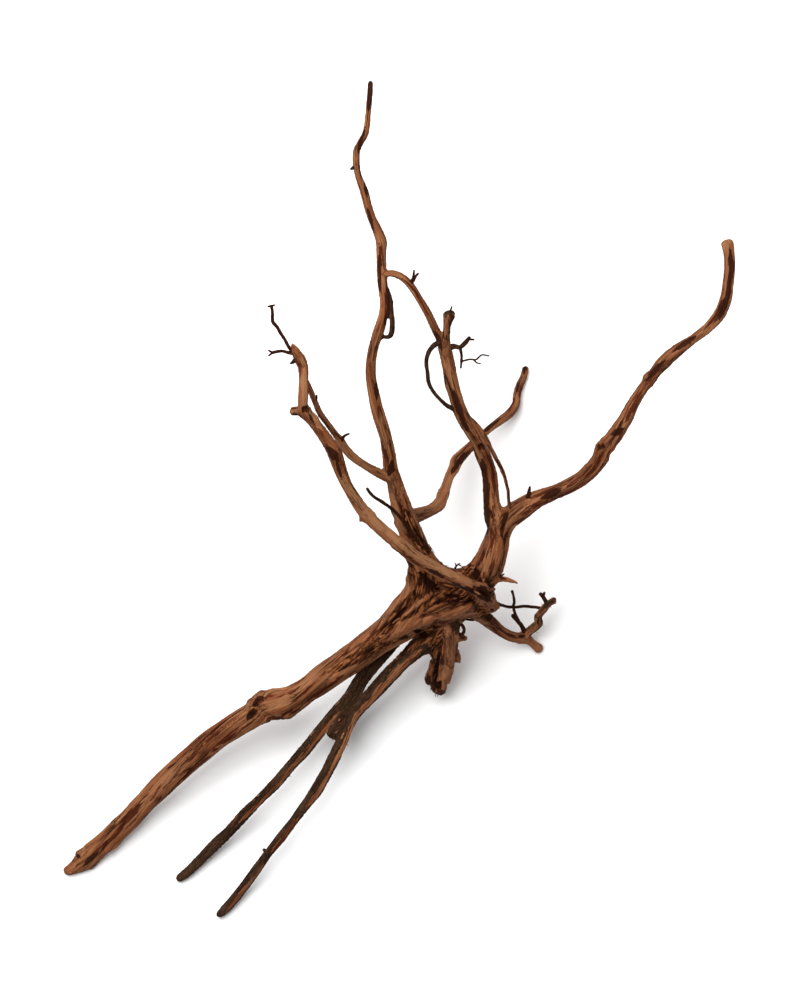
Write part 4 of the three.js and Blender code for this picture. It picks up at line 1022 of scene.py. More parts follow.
@dataclass
class WoodSkin:
    """The main skin: every thick limb grown together, with its relief and its masks.

    Lengths are in mm, apart from the depths of flutes, ribs and lumps and the fillet and blend
    shares, which are shares of a limb's radius.
    """

    path_step: float = 1.0
    ring_sides: int = 40
    voxel: float = 0.86
    smooth_rounds: int = 6
    smooth_shares: tuple[float, float] = (0.6, -0.52)
    fillet_least: float = 0.3
    fillet_share: float = 1.1
    blend_least: float = 2.0
    blend_share: float = 0.5
    slim_least: float = 1.5
    slim_most: float = 14.0
    bark_cell: tuple[float, float] = (15.0, 4.2)
    ragged_cell: tuple[float, float] = (6.0, 1.7)
    edge_cell: float = 4.5
    rough_cell: float = 2.6
    flute_depth: float = 0.25
    rib_depth: float = 0.14
    lump_depth: float = 0.05
    strand_depth: float = 0.75
    rill_depth: float = 0.5
    groove_depth: float = 0.45
    fibre_depth: float = 0.14
    bark_rise: float = 0.32
    hollow_depth: float = 2.2
    torn_depth: float = 2.1
    stain_depth: float = 0.15
    knot_rise: float = 0.8
    knot_pit: float = 0.9
    ridge_rise: float = 1.9
    cavity_least: float = 0.02
    cavity_full: float = 0.26
    most_triangles: int = 196000
    paths: list[Path] = field(default_factory=list)

    def build(self) -> bpy.types.Object:
        """Makes the skin's object.

        Returns:
            The finished object, with its attributes.
        """
        self.paths = [Path.through(limb, self.path_step) for limb in SKIN_LIMBS]
        self.run_grain()
        tubes = Skin.joined([Skin.swept(path, self.ring_sides) for path in self.paths])
        piece = tubes.to_object("driftwood_wood")
        self.grow_together(piece)
        points, edges = self.read(piece.data)
        points = self.smoothed(points, edges, self.smooth_rounds)
        place = LimbMap(self.paths).place(points)
        normals = self.normals(piece.data, points)
        points = points + normals * self.fillet(place)[:, None]
        points = self.smoothed(points, edges, 2)
        normals = self.normals(piece.data, points)
        masks, height = self.relief(points, place, MarkMap({p.limb.name: p for p in self.paths}))
        points = points + normals * height[:, None]
        points[:, 2] = np.maximum(points[:, 2], 0.0)
        # Painted shade: each groove of the finished relief darkens the colour through the crevice mask.
        cavity = self.cavity(points, edges, self.normals(piece.data, points))
        masks.crevice = np.maximum(masks.crevice, smooth_step(self.cavity_least, self.cavity_full, cavity))
        self.write(piece.data, points)
        masks.write(piece.data, self.grain_place(place.limb, place.along, place.across))
        self.thin_out(piece)
        return piece

    def run_grain(self) -> None:
        """Gives each limb a grain of its own, or that of the limb that it grows out of."""
        by_name = {path.limb.name: path for path in self.paths}
        for number, path in enumerate(self.paths):
            path.grain_start = GRAIN_SHIFT * number
            if path.limb.grain_from:
                path.carry_on(by_name[path.limb.grain_from])

    def grain_place(self, limb: Array, along: Array, across: Array) -> Array:
        """Where points lie in the wood's grain, which winds slowly round the limb.

        Args:
            limb: Number of the limb.
            along: Distance along it in mm.
            across: The two distances across it in mm.

        Returns:
            Rows of the distance along the grain and the two across it, in mm.
        """
        start = np.array([path.grain_start for path in self.paths])[limb]
        turn = GRAIN_TWIST * along + np.array([path.grain_turn for path in self.paths])[limb]
        cosine, sine = np.cos(turn), np.sin(turn)
        u = across[:, 0] * cosine - across[:, 1] * sine
        v = across[:, 0] * sine + across[:, 1] * cosine
        return np.column_stack([along + start, u, v])

    def grow_together(self, piece: bpy.types.Object) -> None:
        """Joins the overlapping tubes into one closed skin of even small faces."""
        remesh = piece.modifiers.new("grow", "REMESH")
        remesh.mode = "VOXEL"
        remesh.voxel_size = self.voxel * MM
        remesh.adaptivity = 0.0
        remesh.use_smooth_shade = True
        self.apply(piece)

    def thin_out(self, piece: bpy.types.Object) -> None:
        """Merges faces where the surface is plain, down to the set number of triangles."""
        piece.data.calc_loop_triangles()
        thin = piece.modifiers.new("thin", "DECIMATE")
        thin.ratio = min(1.0, self.most_triangles / len(piece.data.loop_triangles))
        self.apply(piece)

    @staticmethod
    def apply(piece: bpy.types.Object) -> None:
        """Puts the result of a piece's modifiers into its mesh."""
        evaluated = piece.evaluated_get(bpy.context.evaluated_depsgraph_get())
        made = bpy.data.meshes.new_from_object(evaluated)
        old = piece.data
        piece.modifiers.clear()
        piece.data = made
        bpy.data.meshes.remove(old)

    @staticmethod
    def read(mesh: bpy.types.Mesh) -> tuple[Array, Array]:
        """A mesh's vertex places in mm, and its edges as pairs of vertex numbers."""
        points = np.empty(len(mesh.vertices) * 3)
        mesh.vertices.foreach_get("co", points)
        edges = np.empty(len(mesh.edges) * 2, dtype=np.int32)
        mesh.edges.foreach_get("vertices", edges)
        return points.reshape(-1, 3) / MM, edges.reshape(-1, 2)

    @staticmethod
    def write(mesh: bpy.types.Mesh, points: Array) -> None:
        """Puts vertex places, given in mm, into a mesh."""
        mesh.vertices.foreach_set("co", (points * MM).astype(np.float32).ravel())
        mesh.update()

    @classmethod
    def normals(cls, mesh: bpy.types.Mesh, points: Array) -> Array:
        """The outward unit normal at each vertex, with the vertices at the given places."""
        cls.write(mesh, points)
        rows = np.empty(len(mesh.vertices) * 3, dtype=np.float32)
        mesh.vertex_normals.foreach_get("vector", rows)
        return rows.reshape(-1, 3).astype(float)

    @staticmethod
    def neighbour_mean(values: Array, edges: Array) -> Array:
        """The mean of each vertex's neighbours' values."""
        count = len(values)
        ends = np.concatenate([edges[:, 0], edges[:, 1]])
        others = np.concatenate([edges[:, 1], edges[:, 0]])
        number = np.maximum(np.bincount(ends, minlength=count), 1)
        sums = [np.bincount(ends, weights=column[others], minlength=count) for column in values.T]
        return np.stack(sums, axis=1) / number[:, None]

    def smoothed(self, points: Array, edges: Array, rounds: int) -> Array:
        """Points moved towards their neighbours' mean and a little back, which keeps the volume.

        Args:
            points: Places in mm.
            edges: Pairs of vertex numbers.
            rounds: How often it is done.

        Returns:
            The smoothed places.
        """
        for _ in range(rounds):
            for share in self.smooth_shares:
                points = points + share * (self.neighbour_mean(points, edges) - points)
        return points

    @classmethod
    def cavity(cls, points: Array, edges: Array, normals: Array) -> Array:
        """How far each vertex lies in a groove, in mm: its neighbours' mean stands out past it."""
        gap = cls.neighbour_mean(points, edges) - points
        depth = (gap * normals).sum(axis=1)[:, None]
        for _ in range(2):
            depth = 0.5 * depth + 0.5 * cls.neighbour_mean(depth, edges)
        return depth[:, 0]

    def fillet(self, place: Place) -> Array:
        """How far the skin stands out where two limbs meet: a smooth blend of their distances.

        It fades out where one limb runs on inside the other, since there is no corner to fill.

        Args:
            place: The points' places on their two nearest limbs.

        Returns:
            Distance outward in mm.
        """
        fillets = np.array([p.limb.fillet for p in self.paths])
        reach = np.minimum(fillets[place.limb], fillets[place.next_limb])
        reach = self.fillet_least + reach * self.fillet_share * np.minimum(place.radius, place.next_radius)
        share = np.maximum(reach - np.abs(place.depth - place.next_depth), 0.0) / reach
        return share**2 * reach / 4.0 * smooth_step(0.97, 0.6, place.facing)

    def relief(self, points: Array, place: Place, marks: MarkMap) -> tuple[Masks, Array]:
        """The skin's relief and masks.

        Flutes and fissures are noise stretched along the grain, which winds slowly round the limb.
        Bark is a raised, cracked layer where the limb has kept it or a mark says so. Knots are
        domes with a pit, and hollows are torn pits. Near a junction two limbs' relief is mixed.
        Grooves, hollows, torn gaps and knot pits are also darkened in colour, as painted shade.

        Args:
            points: The skin's points in mm.
            place: Their places on their two nearest limbs.
            marks: The marks on the wood.

        Returns:
            The masks, and how far each point moves outward in mm.
        """
        barks = np.array([p.limb.bark.value for p in self.paths])
        own = self.grain_place(place.limb, place.along, place.across)
        other = self.grain_place(place.next_limb, place.next_along, place.next_across)
        first = self.limb_relief(own, place.radius)
        second = self.limb_relief(other, place.next_radius)
        blend = self.blend_least + self.blend_share * np.minimum(place.radius, place.next_radius)
        shared = 0.5 * smooth_step(1.0, 0.0, np.abs(place.depth - place.next_depth) / blend)
        height, groove, bark_noise, ragged = (
            a * (1 - shared) + b * shared for a, b in zip(first, second))
        level = barks[place.limb] * (1 - shared) + barks[place.next_limb] * shared
        edge = ragged + 0.8 * layered(points / self.edge_cell, Seed.EDGE)
        cover = {kind: marks.cover(kind, points, edge) for kind in MarkKind}
        cover[MarkKind.RIDGE] = marks.cover(MarkKind.RIDGE, points, 0.4 * ragged)
        cover[MarkKind.KNOT] = marks.cover(MarkKind.KNOT, points, 1.7 * edge)
        hollow, knot, ridge, pale, peeled = (cover[kind] for kind in (
            MarkKind.HOLLOW, MarkKind.KNOT, MarkKind.RIDGE, MarkKind.PALE, MarkKind.PEELED))
        torn = np.maximum.reduce([0.8 * hollow, cover[MarkKind.BARK], 0.75 * knot]) * (1 - ridge)
        bark = smooth_step(0.0, 1.0, 0.8 * bark_noise + 1.1 * level - 0.1 - 1.3 * np.maximum(pale, peeled))
        bark = bark * (1 - torn) * (1 - ridge)
        rough = layered(points / self.rough_cell, Seed.ROUGH)
        height = height + bark * (self.bark_rise + 0.35 * rough) * np.clip(place.radius / 7.0, 0.2, 1.0)
        height -= groove * self.groove_depth * np.clip(place.radius / 5.0, 0.3, 1.2)
        height -= hollow * self.hollow_depth * (0.9 + 0.7 * rough) * (1 - ridge)
        height += torn * self.torn_depth * (np.abs(ragged) + 0.5 * rough - 0.3)
        height += ridge * self.ridge_rise * np.minimum(1.0, place.radius / 6.0)
        height += (self.knot_rise * knot * np.sin(math.pi * knot)
                   - self.knot_pit * smooth_step(0.85, 1.0, knot))
        height -= self.stain_depth * cover[MarkKind.DARK] * (1 + rough)
        # Dark stains from the marks and knots, with painted shade inside hollows.
        stain = np.maximum.reduce([cover[MarkKind.DARK], 0.35 * knot, 0.8 * hollow]) * (1 - 0.8 * ridge)
        red = np.maximum.reduce([cover[MarkKind.RED], 0.7 * groove, 0.45 * peeled]) * (1 - ridge)
        # Painted shade: fissures, flute valleys, hollows, torn gaps and knot pits are darkened.
        crevice = np.maximum.reduce([0.75 * groove, hollow, torn * smooth_step(0.1, -0.25, ragged),
                                     knot * smooth_step(0.0, 0.3, rough)])
        crevice = crevice * (1 - 0.8 * ridge)
        return Masks(bark, stain, red, pale, torn, crevice), height

    def limb_relief(self, place: Array, radius: Array) -> tuple[Array, ...]:
        """Relief that follows one limb's own grain.

        Args:
            place: The points' places in the grain in mm.
            radius: The limb's radius in mm.

        Returns:
            Height in mm, the fissures' mask, the bark's noise, and noise for ragged edges.
        """
        start, u, v = place.T
        plain = np.hypot(u, v) + 1e-6
        slim = np.clip(radius, self.slim_least, self.slim_most)

        def cells(length: Array | float, width: Array | float) -> Array:
            """The places in cells of a length along the grain and a width across it."""
            return np.column_stack([start / length, u / width, v / width])

        flute = np.abs(noise(cells(64.0, plain / 1.35), Seed.FLUTE))
        rib = np.abs(noise(cells(36.0, plain / 2.7), Seed.RIB))
        lump = noise(cells(2.6 * slim, 1.7 * slim), Seed.LUMP)
        strand = noise(cells(48.0, 1.5 + 0.2 * slim), Seed.STRAND)
        rill = np.abs(noise(cells(30.0, 0.9 + 0.1 * slim), Seed.RILL))
        broken = noise(cells(40.0, 6.0), Seed.FISSURE)
        fissure = smooth_step(0.11, 0.0, np.abs(strand)) * smooth_step(-0.1, 0.3, broken)
        groove = np.maximum(smooth_step(0.09, 0.0, flute), fissure) * smooth_step(2.5, 6.0, radius)
        mean = 0.25
        height = slim * (self.flute_depth * (flute - mean) + self.rib_depth * (rib - mean)
                         + self.lump_depth * lump)
        height += self.strand_depth * np.clip(slim / 6.0, 0.3, 1.2) * (np.abs(strand) - mean)
        height += self.rill_depth * np.clip(slim / 7.0, 0.2, 1.3) * (rill - mean)
        height += self.fibre_depth * noise(cells(11.0, 1.0), Seed.FIBRE)
        return (height, groove, layered(cells(*self.bark_cell), Seed.BARK),
                layered(cells(*self.ragged_cell), Seed.RAGGED))


@dataclass
class TwigSet:
    """Thin twigs and spurs, each a round, slightly crooked and knobbly stem with bark.

    The knobbles are shares of the radius. Grain starts far from that of the thick limbs.
    """

    path_step: float = 0.45
    sides: int = 12
    crook: float = 0.22
    crook_cell: float = 5.0
    knobble: float = 0.16
    knobble_cell: float = 2.4
    fine_knobble: float = 0.07
    fine_finer: Scale = (3.0, 2.6, 2.6)
    bark_cell: Scale = (9.0, 2.0, 2.0)
    grain_start: float = 7000.0
    black_stain: float = 0.7
    brown_stain: float = 0.1

    def build(self) -> bpy.types.Object:
        """Makes one object of all thin twigs.

        Returns:
            The finished object, with its attributes.
        """
        skins, places, masks = zip(*(self.twig(twig, number) for number, twig in enumerate(TWIGS)))
        piece = Skin.joined(list(skins)).to_object("driftwood_twigs")
        Masks(*np.vstack(masks).T).write(piece.data, np.vstack(places))
        return piece

    def twig(self, limb: Limb, number: int) -> tuple[Skin, Array, Array]:
        """One twig. Its knobbles are noise over its length and the circle round it.

        Args:
            limb: The twig's limb.
            number: Its number, which gives it a grain of its own.

        Returns:
            Its skin, the place of each point in the grain, and a row of masks for each point.
        """
        path = self.crooked(Path.through(limb, self.path_step), number)
        along = np.repeat(path.along, self.sides)
        turn = np.tile(np.arange(self.sides) * 2 * math.pi / self.sides, len(path.along))
        cell = np.column_stack([along / self.knobble_cell + 31 * number, np.cos(turn), np.sin(turn)])
        knobs = layered(cell, Seed.KNOBBLE)
        fine = noise(cell * np.array(self.fine_finer), Seed.FINE_KNOBBLE)
        radius = np.repeat(path.radius, self.sides) * (1.0 + self.knobble * knobs + self.fine_knobble * fine)
        skin = Skin.swept(path, self.sides, radius.reshape(-1, self.sides))
        grid = np.column_stack([along + GRAIN_SHIFT * number + self.grain_start,
                                radius * np.cos(turn), radius * np.sin(turn)])
        level = limb.bark.value + 0.5 * layered(grid / np.array(self.bark_cell), Seed.TWIG_BARK)
        bark = np.concatenate([smooth_step(0.1, 0.8, level), [1.0, 1.0]])
        stain = np.full(len(bark), self.black_stain if limb.bark is Bark.BLACK else self.brown_stain)
        # Painted shade in the dips between knobbles.
        groove_shade = np.concatenate([smooth_step(0.1, -0.5, knobs), [0.0, 0.0]])
        masks = np.column_stack([bark, stain, 0 * bark, 0 * bark, 0 * bark, groove_shade])
        return skin, np.vstack([grid, grid[0], grid[-1]]), masks

    def crooked(self, path: Path, number: int) -> Path:
        """The path with small seeded bends, which fade out at both ends."""
        fade = np.sqrt(np.maximum(np.sin(math.pi * path.along / path.along[-1]), 0.0))
        for k, direction in enumerate((path.normal, path.side)):
            cell = np.column_stack([path.along / self.crook_cell,
                                    np.full_like(path.along, 11.0 * number + k), np.zeros_like(path.along)])
            bend = self.crook * fade * noise(cell, Seed.CROOK + k)
            path.centre = path.centre + bend[:, None] * direction
        return path


@dataclass(frozen=True)
class Tuft:
    """Hair roots or slivers on one stretch of a limb, from start to end as shares of its length."""

    limb: str
    start: float
    end: float
    count: int
    length: float


@dataclass
class HairRoots:
    """Hair roots and torn slivers on the limbs, all thin and closed. Each is drawn from the seed.

    The ranges of length are shares of the tuft's own, and widths and thicknesses are in mm.
    """

    seed: int = 29
    sides: int = 6
    rings: int = 9
    least_height: float = 0.3
    hair_foot: float = 0.86
    hair_lengths: tuple[float, float] = (0.5, 1.3)
    hair_thickness: tuple[float, float] = (0.14, 0.26)
    sliver_lengths: tuple[float, float] = (0.5, 1.2)
    sliver_widths: tuple[float, float] = (0.35, 0.8)
    sliver_flat: float = 0.3
    tufts: tuple[Tuft, ...] = (
        Tuft("long_root", 0.16, 0.44, 26, 3.2),
        Tuft("long_root", 0.5, 0.98, 16, 1.8),
        Tuft("stem", 0.25, 0.75, 18, 3.4),
        Tuft("stump", 0.3, 0.95, 14, 3.0),
        Tuft("near_root", 0.2, 0.95, 26, 1.7),
        Tuft("far_root", 0.2, 0.98, 26, 1.7),
        Tuft("broken_side_root", 0.5, 1.0, 16, 2.4),
        Tuft("over_limb", 0.72, 0.98, 16, 2.4),
        Tuft("slim_limb", 0.1, 0.9, 14, 1.7),
        Tuft("reaching_limb", 0.02, 0.3, 12, 2.4),
        Tuft("prop_fork", 0.1, 0.95, 14, 1.9),
        Tuft("bowed_limb", 0.5, 0.7, 10, 2.0),
    )
    slivers: tuple[Tuft, ...] = (
        Tuft("long_root", 0.02, 0.34, 44, 11.0),
        Tuft("long_root", 0.4, 0.98, 26, 9.0),
        Tuft("stem", 0.1, 0.7, 34, 9.0),
        Tuft("tall_limb", 0.05, 0.3, 26, 8.0),
        Tuft("stump", 0.2, 0.98, 30, 8.0),
        Tuft("near_root", 0.15, 0.95, 26, 6.0),
        Tuft("far_root", 0.15, 0.95, 26, 6.0),
        Tuft("broken_side_root", 0.6, 1.0, 30, 5.0),
        Tuft("reaching_limb", 0.0, 0.35, 16, 7.0),
        Tuft("over_limb", 0.0, 0.2, 14, 6.0),
        Tuft("web", 0.0, 1.0, 120, 6.0),
        Tuft("torn_end", 0.2, 1.0, 30, 5.0),
        Tuft("tall_limb", 0.1, 0.3, 30, 6.0),
        Tuft("far_root", 0.0, 0.12, 20, 6.0),
    )

    def build(self, paths: list[Path]) -> tuple[bpy.types.Object, bpy.types.Object]:
        """Makes the hair roots and the slivers.

        Args:
            paths: The paths of the limbs that they stand on.

        Returns:
            The hair roots' object and the slivers' object.
        """
        by_name = {path.limb.name: path for path in paths}
        random = np.random.default_rng(self.seed)
        hairs = [self.hair(by_name[t.limb], t, random) for t in self.tufts for _ in range(t.count)]
        torn = [self.sliver(by_name[t.limb], t, random) for t in self.slivers for _ in range(t.count)]
        return (self.finished("driftwood_hair_roots", hairs, 1.0, 0.5),
                self.finished("driftwood_slivers", torn, 0.12, 0.1))

    def finished(self, name: str, skins: list[Skin], bark: float, stain: float) -> bpy.types.Object:
        """One object of many small skins, each of one tone.

        Args:
            name: The object's name.
            skins: The small skins.
            bark: How much bark the barest of them has.
            stain: How dark the darkest of them is.

        Returns:
            The object, with its attributes.
        """
        piece = Skin.joined(skins).to_object(name)
        points, _ = WoodSkin.read(piece.data)
        random = np.random.default_rng(self.seed + 1)
        levels = np.repeat(random.uniform(0.0, 1.0, len(skins)), [len(s.points) for s in skins])
        none = np.zeros(len(points))
        Masks(np.clip(bark + 0.3 * levels, 0, 1), stain * levels, 0.8 * levels, 0.5 * (1 - levels),
              none, none).write(piece.data, points)
        return piece

    def hair(self, path: Path, tuft: Tuft, random: np.random.Generator) -> Skin:
        """One thin root that leaves the limb's surface and bends over.

        Args:
            path: The limb's path.
            tuft: The stretch of limb that it stands on.
            random: The seeded draw.

        Returns:
            A closed, tapered tube.
        """
        at = int(random.uniform(tuft.start, tuft.end) * (len(path.along) - 1))
        angle = random.uniform(0, 2 * math.pi)
        out = math.cos(angle) * path.normal[at] + math.sin(angle) * path.side[at]
        length = tuft.length * random.uniform(*self.hair_lengths)
        lean = random.uniform(-1.0, 1.0)
        sag = np.array([0.0, 0.0, -0.25]) + 0.4 * random.uniform(-1, 1, 3)
        t = np.linspace(0.0, 1.0, self.rings)[:, None]
        foot = path.centre[at] + out * path.radius[at] * self.hair_foot
        line = foot + out * length * t + path.tangent[at] * lean * length * t**2 + sag * length * t**2
        line[:, 2] = np.maximum(line[:, 2], self.least_height)
        thick = random.uniform(*self.hair_thickness) * (1.15 - 0.85 * t[:, 0])
        return self.tube(line, thick)

    def sliver(self, path: Path, tuft: Tuft, random: np.random.Generator) -> Skin:
        """One torn strip of wood that lies along the grain, with a tip that has come away.

        Args:
            path: The limb's path.
            tuft: The stretch of limb that it lies on.
            random: The seeded draw.

        Returns:
            A closed, flat, pointed strip.
        """
        reach = path.along[-1]
        length = min(tuft.length * random.uniform(*self.sliver_lengths), 0.6 * reach)
        way = random.choice([-1.0, 1.0])
        begin = random.uniform(tuft.start, tuft.end) * reach
        begin = min(max(begin, length if way < 0 else 0.0), reach if way < 0 else reach - length)
        t = np.linspace(0.0, 1.0, self.rings)
        at = begin + way * length * t
        turned = random.uniform(0, 2 * math.pi) + 0.12 * t * way
        centre, normal, side = (self.between(path, rows, at)
                                for rows in (path.centre, path.normal, path.side))
        out = np.cos(turned)[:, None] * normal + np.sin(turned)[:, None] * side
        radius = np.interp(at, path.along, path.radius) * path.lobes(at, turned)
        lift = 0.28 * np.sin(math.pi * t) - 0.25 + random.uniform(0.1, 1.1) * t**4
        line = centre + out * (radius + lift)[:, None]
        line[:, 2] = np.maximum(line[:, 2], self.least_height)
        belly = np.sin(math.pi * np.clip(0.12 + 0.86 * t, 0, 1))
        wide = random.uniform(*self.sliver_widths) * belly + 0.06
        return self.tube(line, wide, self.sliver_flat, out)

    @staticmethod
    def between(path: Path, rows: Array, at: Array) -> Array:
        """Rows that belong to a path's places, read at distances along it."""
        return np.stack([np.interp(at, path.along, rows[:, k]) for k in range(3)], axis=1)

    def tube(self, line: Array, radius: Array, flat: float = 1.0, out: Array | None = None) -> Skin:
        """A closed tube along a short line.

        Args:
            line: Places on the line in mm.
            radius: Radius at each place in mm.
            flat: Height of the section as a share of its width.
            out: The direction in which the section is flat. Without it, any.

        Returns:
            The tube.
        """
        along = np.concatenate([[0.0], np.cumsum(np.linalg.norm(np.diff(line, axis=0), axis=1))])
        along += np.arange(len(line)) * 1e-6
        tangent = np.gradient(line, along, axis=0)
        tangent /= np.linalg.norm(tangent, axis=1, keepdims=True)
        if out is None:
            normal, side = Path.carried_frame(tangent)
        else:
            normal = np.cross(out, tangent)
            normal /= np.linalg.norm(normal, axis=1, keepdims=True)
            side = np.cross(tangent, normal)
        # The sweep reads nothing of the limb itself, so any limb will do here.
        path = Path(SKIN_LIMBS[0], line, tangent, normal, side, radius, along)
        return Skin.swept(path, self.sides, np.repeat(radius[:, None], self.sides, axis=1), flat)


class Sheet:
    """A shader node tree that is being laid out."""

    def __init__(self, tree: bpy.types.NodeTree) -> None:
        """Starts on an empty tree.

        Args:
            tree: The tree to fill.
        """
        self.tree = tree
        self.tree.nodes.clear()

    def add(self, kind: str, inputs: dict[str | int, object] | None = None,
            **settings: object) -> bpy.types.Node:
        """Adds a node.

        Args:
            kind: The node's type.
            inputs: Value or socket for each input that isn't left as it is.
            settings: The node's own settings.

        Returns:
            The node.
        """
        node = self.tree.nodes.new(kind)
        for name, value in settings.items():
            setattr(node, name, value)
        for key, value in (inputs or {}).items():
            if isinstance(value, bpy.types.NodeSocket):
                self.tree.links.new(value, node.inputs[key])
            else:
                node.inputs[key].default_value = value
        return node

    def attribute(self, name: str, output: str = "Fac") -> bpy.types.NodeSocket:
        """Reads one of the mesh's attributes."""
        return self.add("ShaderNodeAttribute", attribute_name=name).outputs[output]

    def maths(self, operation: str, first: object, second: object = 0.0) -> bpy.types.NodeSocket:
        """One sum on two values, kept from 0 to 1."""
        node = self.add("ShaderNodeMath", {0: first, 1: second}, operation=operation, use_clamp=True)
        return node.outputs[0]

    def weighted(self, first: object, share: float, second: object, other: float) -> bpy.types.NodeSocket:
        """The sum of two values, each times its own share."""
        return self.maths("ADD", self.maths("MULTIPLY", first, share), self.maths("MULTIPLY", second, other))

    def ramp(self, value: object, low: float, high: float) -> bpy.types.NodeSocket:
        """Rises smoothly from 0 at low to 1 at high."""
        node = self.add("ShaderNodeMapRange", {"Value": value, "From Min": low, "From Max": high},
                        interpolation_type="SMOOTHSTEP")
        return node.outputs["Result"]

    def scaled(self, place: object, scale: Scale) -> bpy.types.NodeSocket:
        """A place times a scale along and across the grain."""
        return self.add("ShaderNodeVectorMath", {0: place, 1: scale}, operation="MULTIPLY").outputs[0]

    def stretched(self, place: object, scale: Scale, detail: float,
                  roughness: float = 0.55) -> bpy.types.NodeSocket:
        """Noise over a place that is scaled along and across the grain."""
        inputs = {"Vector": self.scaled(place, scale), "Scale": 1.0, "Detail": detail, "Roughness": roughness}
        return self.add("ShaderNodeTexNoise", inputs).outputs[0]

    def mix(self, share: object, first: object, second: object) -> bpy.types.NodeSocket:
        """Mixes two colours."""
        return self.add("ShaderNodeMix", {0: share, 6: first, 7: second}, data_type="RGBA").outputs[2]


class Pattern(Enum):
    """The shared node groups, by their names."""

    WOOD = "wood_grain"
    BARK = "bark_skin"


def new_group(pattern: Pattern, outputs: tuple[str, ...]) -> tuple[Sheet, bpy.types.NodeSocket]:
    """Starts a node group that reads a place and gives values.

    Args:
        pattern: Which group it is.
        outputs: The names of the values that it gives.

    Returns:
        The group's sheet, and the place that it reads.
    """
    tree = bpy.data.node_groups.new(pattern.value, "ShaderNodeTree")
    tree.interface.new_socket("Place", in_out="INPUT", socket_type="NodeSocketVector")
    for name in outputs:
        tree.interface.new_socket(name, in_out="OUTPUT", socket_type="NodeSocketFloat")
    sheet = Sheet(tree)
    return sheet, sheet.add("NodeGroupInput").outputs["Place"]


@dataclass(frozen=True)
class WoodGrain:
    """The grain of peeled wood: tone and hue, long red streaks, thin dark cracks and fibres.

    Each scale is in cells a mm, along the grain and across it both ways. The cracks are the places
    where a noise is close to its middle, within the width given.
    """

    broad: Scale = (0.022, 0.24, 0.24)
    fibre: Scale = (0.09, 1.5, 1.5)
    streak: Scale = (0.017, 0.42, 0.42)
    ragged: Scale = (0.1, 0.75, 0.75)
    gate: Scale = (0.03, 0.12, 0.12)
    hue: Scale = (0.014, 0.07, 0.07)
    cracks: tuple[tuple[Scale, float], ...] = (((0.022, 0.5, 0.5), 0.026), ((0.034, 1.05, 1.05), 0.034))
    crack_core: float = 0.003
    fine_crack: float = 0.45

    def build(self) -> None:
        """Builds the group. Its place is along the limb, then across it, in mm."""
        sheet, place = new_group(Pattern.WOOD, ("Tone", "Hue", "Streak", "Crack", "Ragged", "Height"))
        broad = sheet.stretched(place, self.broad, 3.0)
        fibre = sheet.stretched(place, self.fibre, 3.0, 0.6)
        streak = sheet.stretched(place, self.streak, 5.0, 0.64)
        ragged = sheet.stretched(place, self.ragged, 4.0, 0.65)
        gate = sheet.ramp(sheet.stretched(place, self.gate, 1.0), 0.4, 0.6)
        hue = sheet.ramp(sheet.stretched(place, self.hue, 2.0), 0.42, 0.62)
        lines = []
        for scale, width in self.cracks:
            line = sheet.stretched(place, scale, 4.0)
            off = sheet.add("ShaderNodeMath", {0: line, 1: 0.5}, operation="SUBTRACT").outputs[0]
            lines.append(sheet.ramp(sheet.maths("ABSOLUTE", off), width, self.crack_core))
        fine = sheet.maths("MULTIPLY", lines[1], self.fine_crack)
        crack = sheet.maths("MULTIPLY", sheet.maths("MAXIMUM", lines[0], fine), gate)
        tone = sheet.weighted(sheet.ramp(broad, 0.36, 0.64), 0.6, sheet.ramp(fibre, 0.35, 0.65), 0.4)
        raised = sheet.maths("ADD", sheet.maths("MULTIPLY", fibre, 0.6), 0.4)
        height = sheet.maths("SUBTRACT", raised, sheet.maths("MULTIPLY", crack, 0.6))
        sheet.add("NodeGroupOutput", {"Tone": tone, "Hue": hue, "Streak": streak, "Crack": crack,
                                      "Ragged": ragged, "Height": height})


@dataclass(frozen=True)
class BarkSkin:
    """Dry bark: small plates with dark gaps between them. Scales are as in the wood's grain."""

    plates: Scale = (0.22, 0.62, 0.62)
    fine: Scale = (0.4, 1.1, 1.1)
    broad: Scale = (0.06, 0.2, 0.2)
    gap: float = 0.2

    def build(self) -> None:
        """Builds the group. Its place is along the limb, then across it, in mm."""
        sheet, place = new_group(Pattern.BARK, ("Tone", "Height"))
        plates = sheet.add("ShaderNodeTexVoronoi", {"Vector": sheet.scaled(place, self.plates), "Scale": 1.0},
                           feature="DISTANCE_TO_EDGE")
        plate = sheet.ramp(plates.outputs["Distance"], 0.0, self.gap)
        fine = sheet.stretched(place, self.fine, 3.0)
        broad = sheet.stretched(place, self.broad, 2.0)
        tone = sheet.weighted(sheet.ramp(broad, 0.35, 0.65), 0.5, sheet.maths("MULTIPLY", plate, fine), 0.75)
        sheet.add("NodeGroupOutput", {"Tone": tone, "Height": sheet.weighted(plate, 0.5, fine, 0.5)})


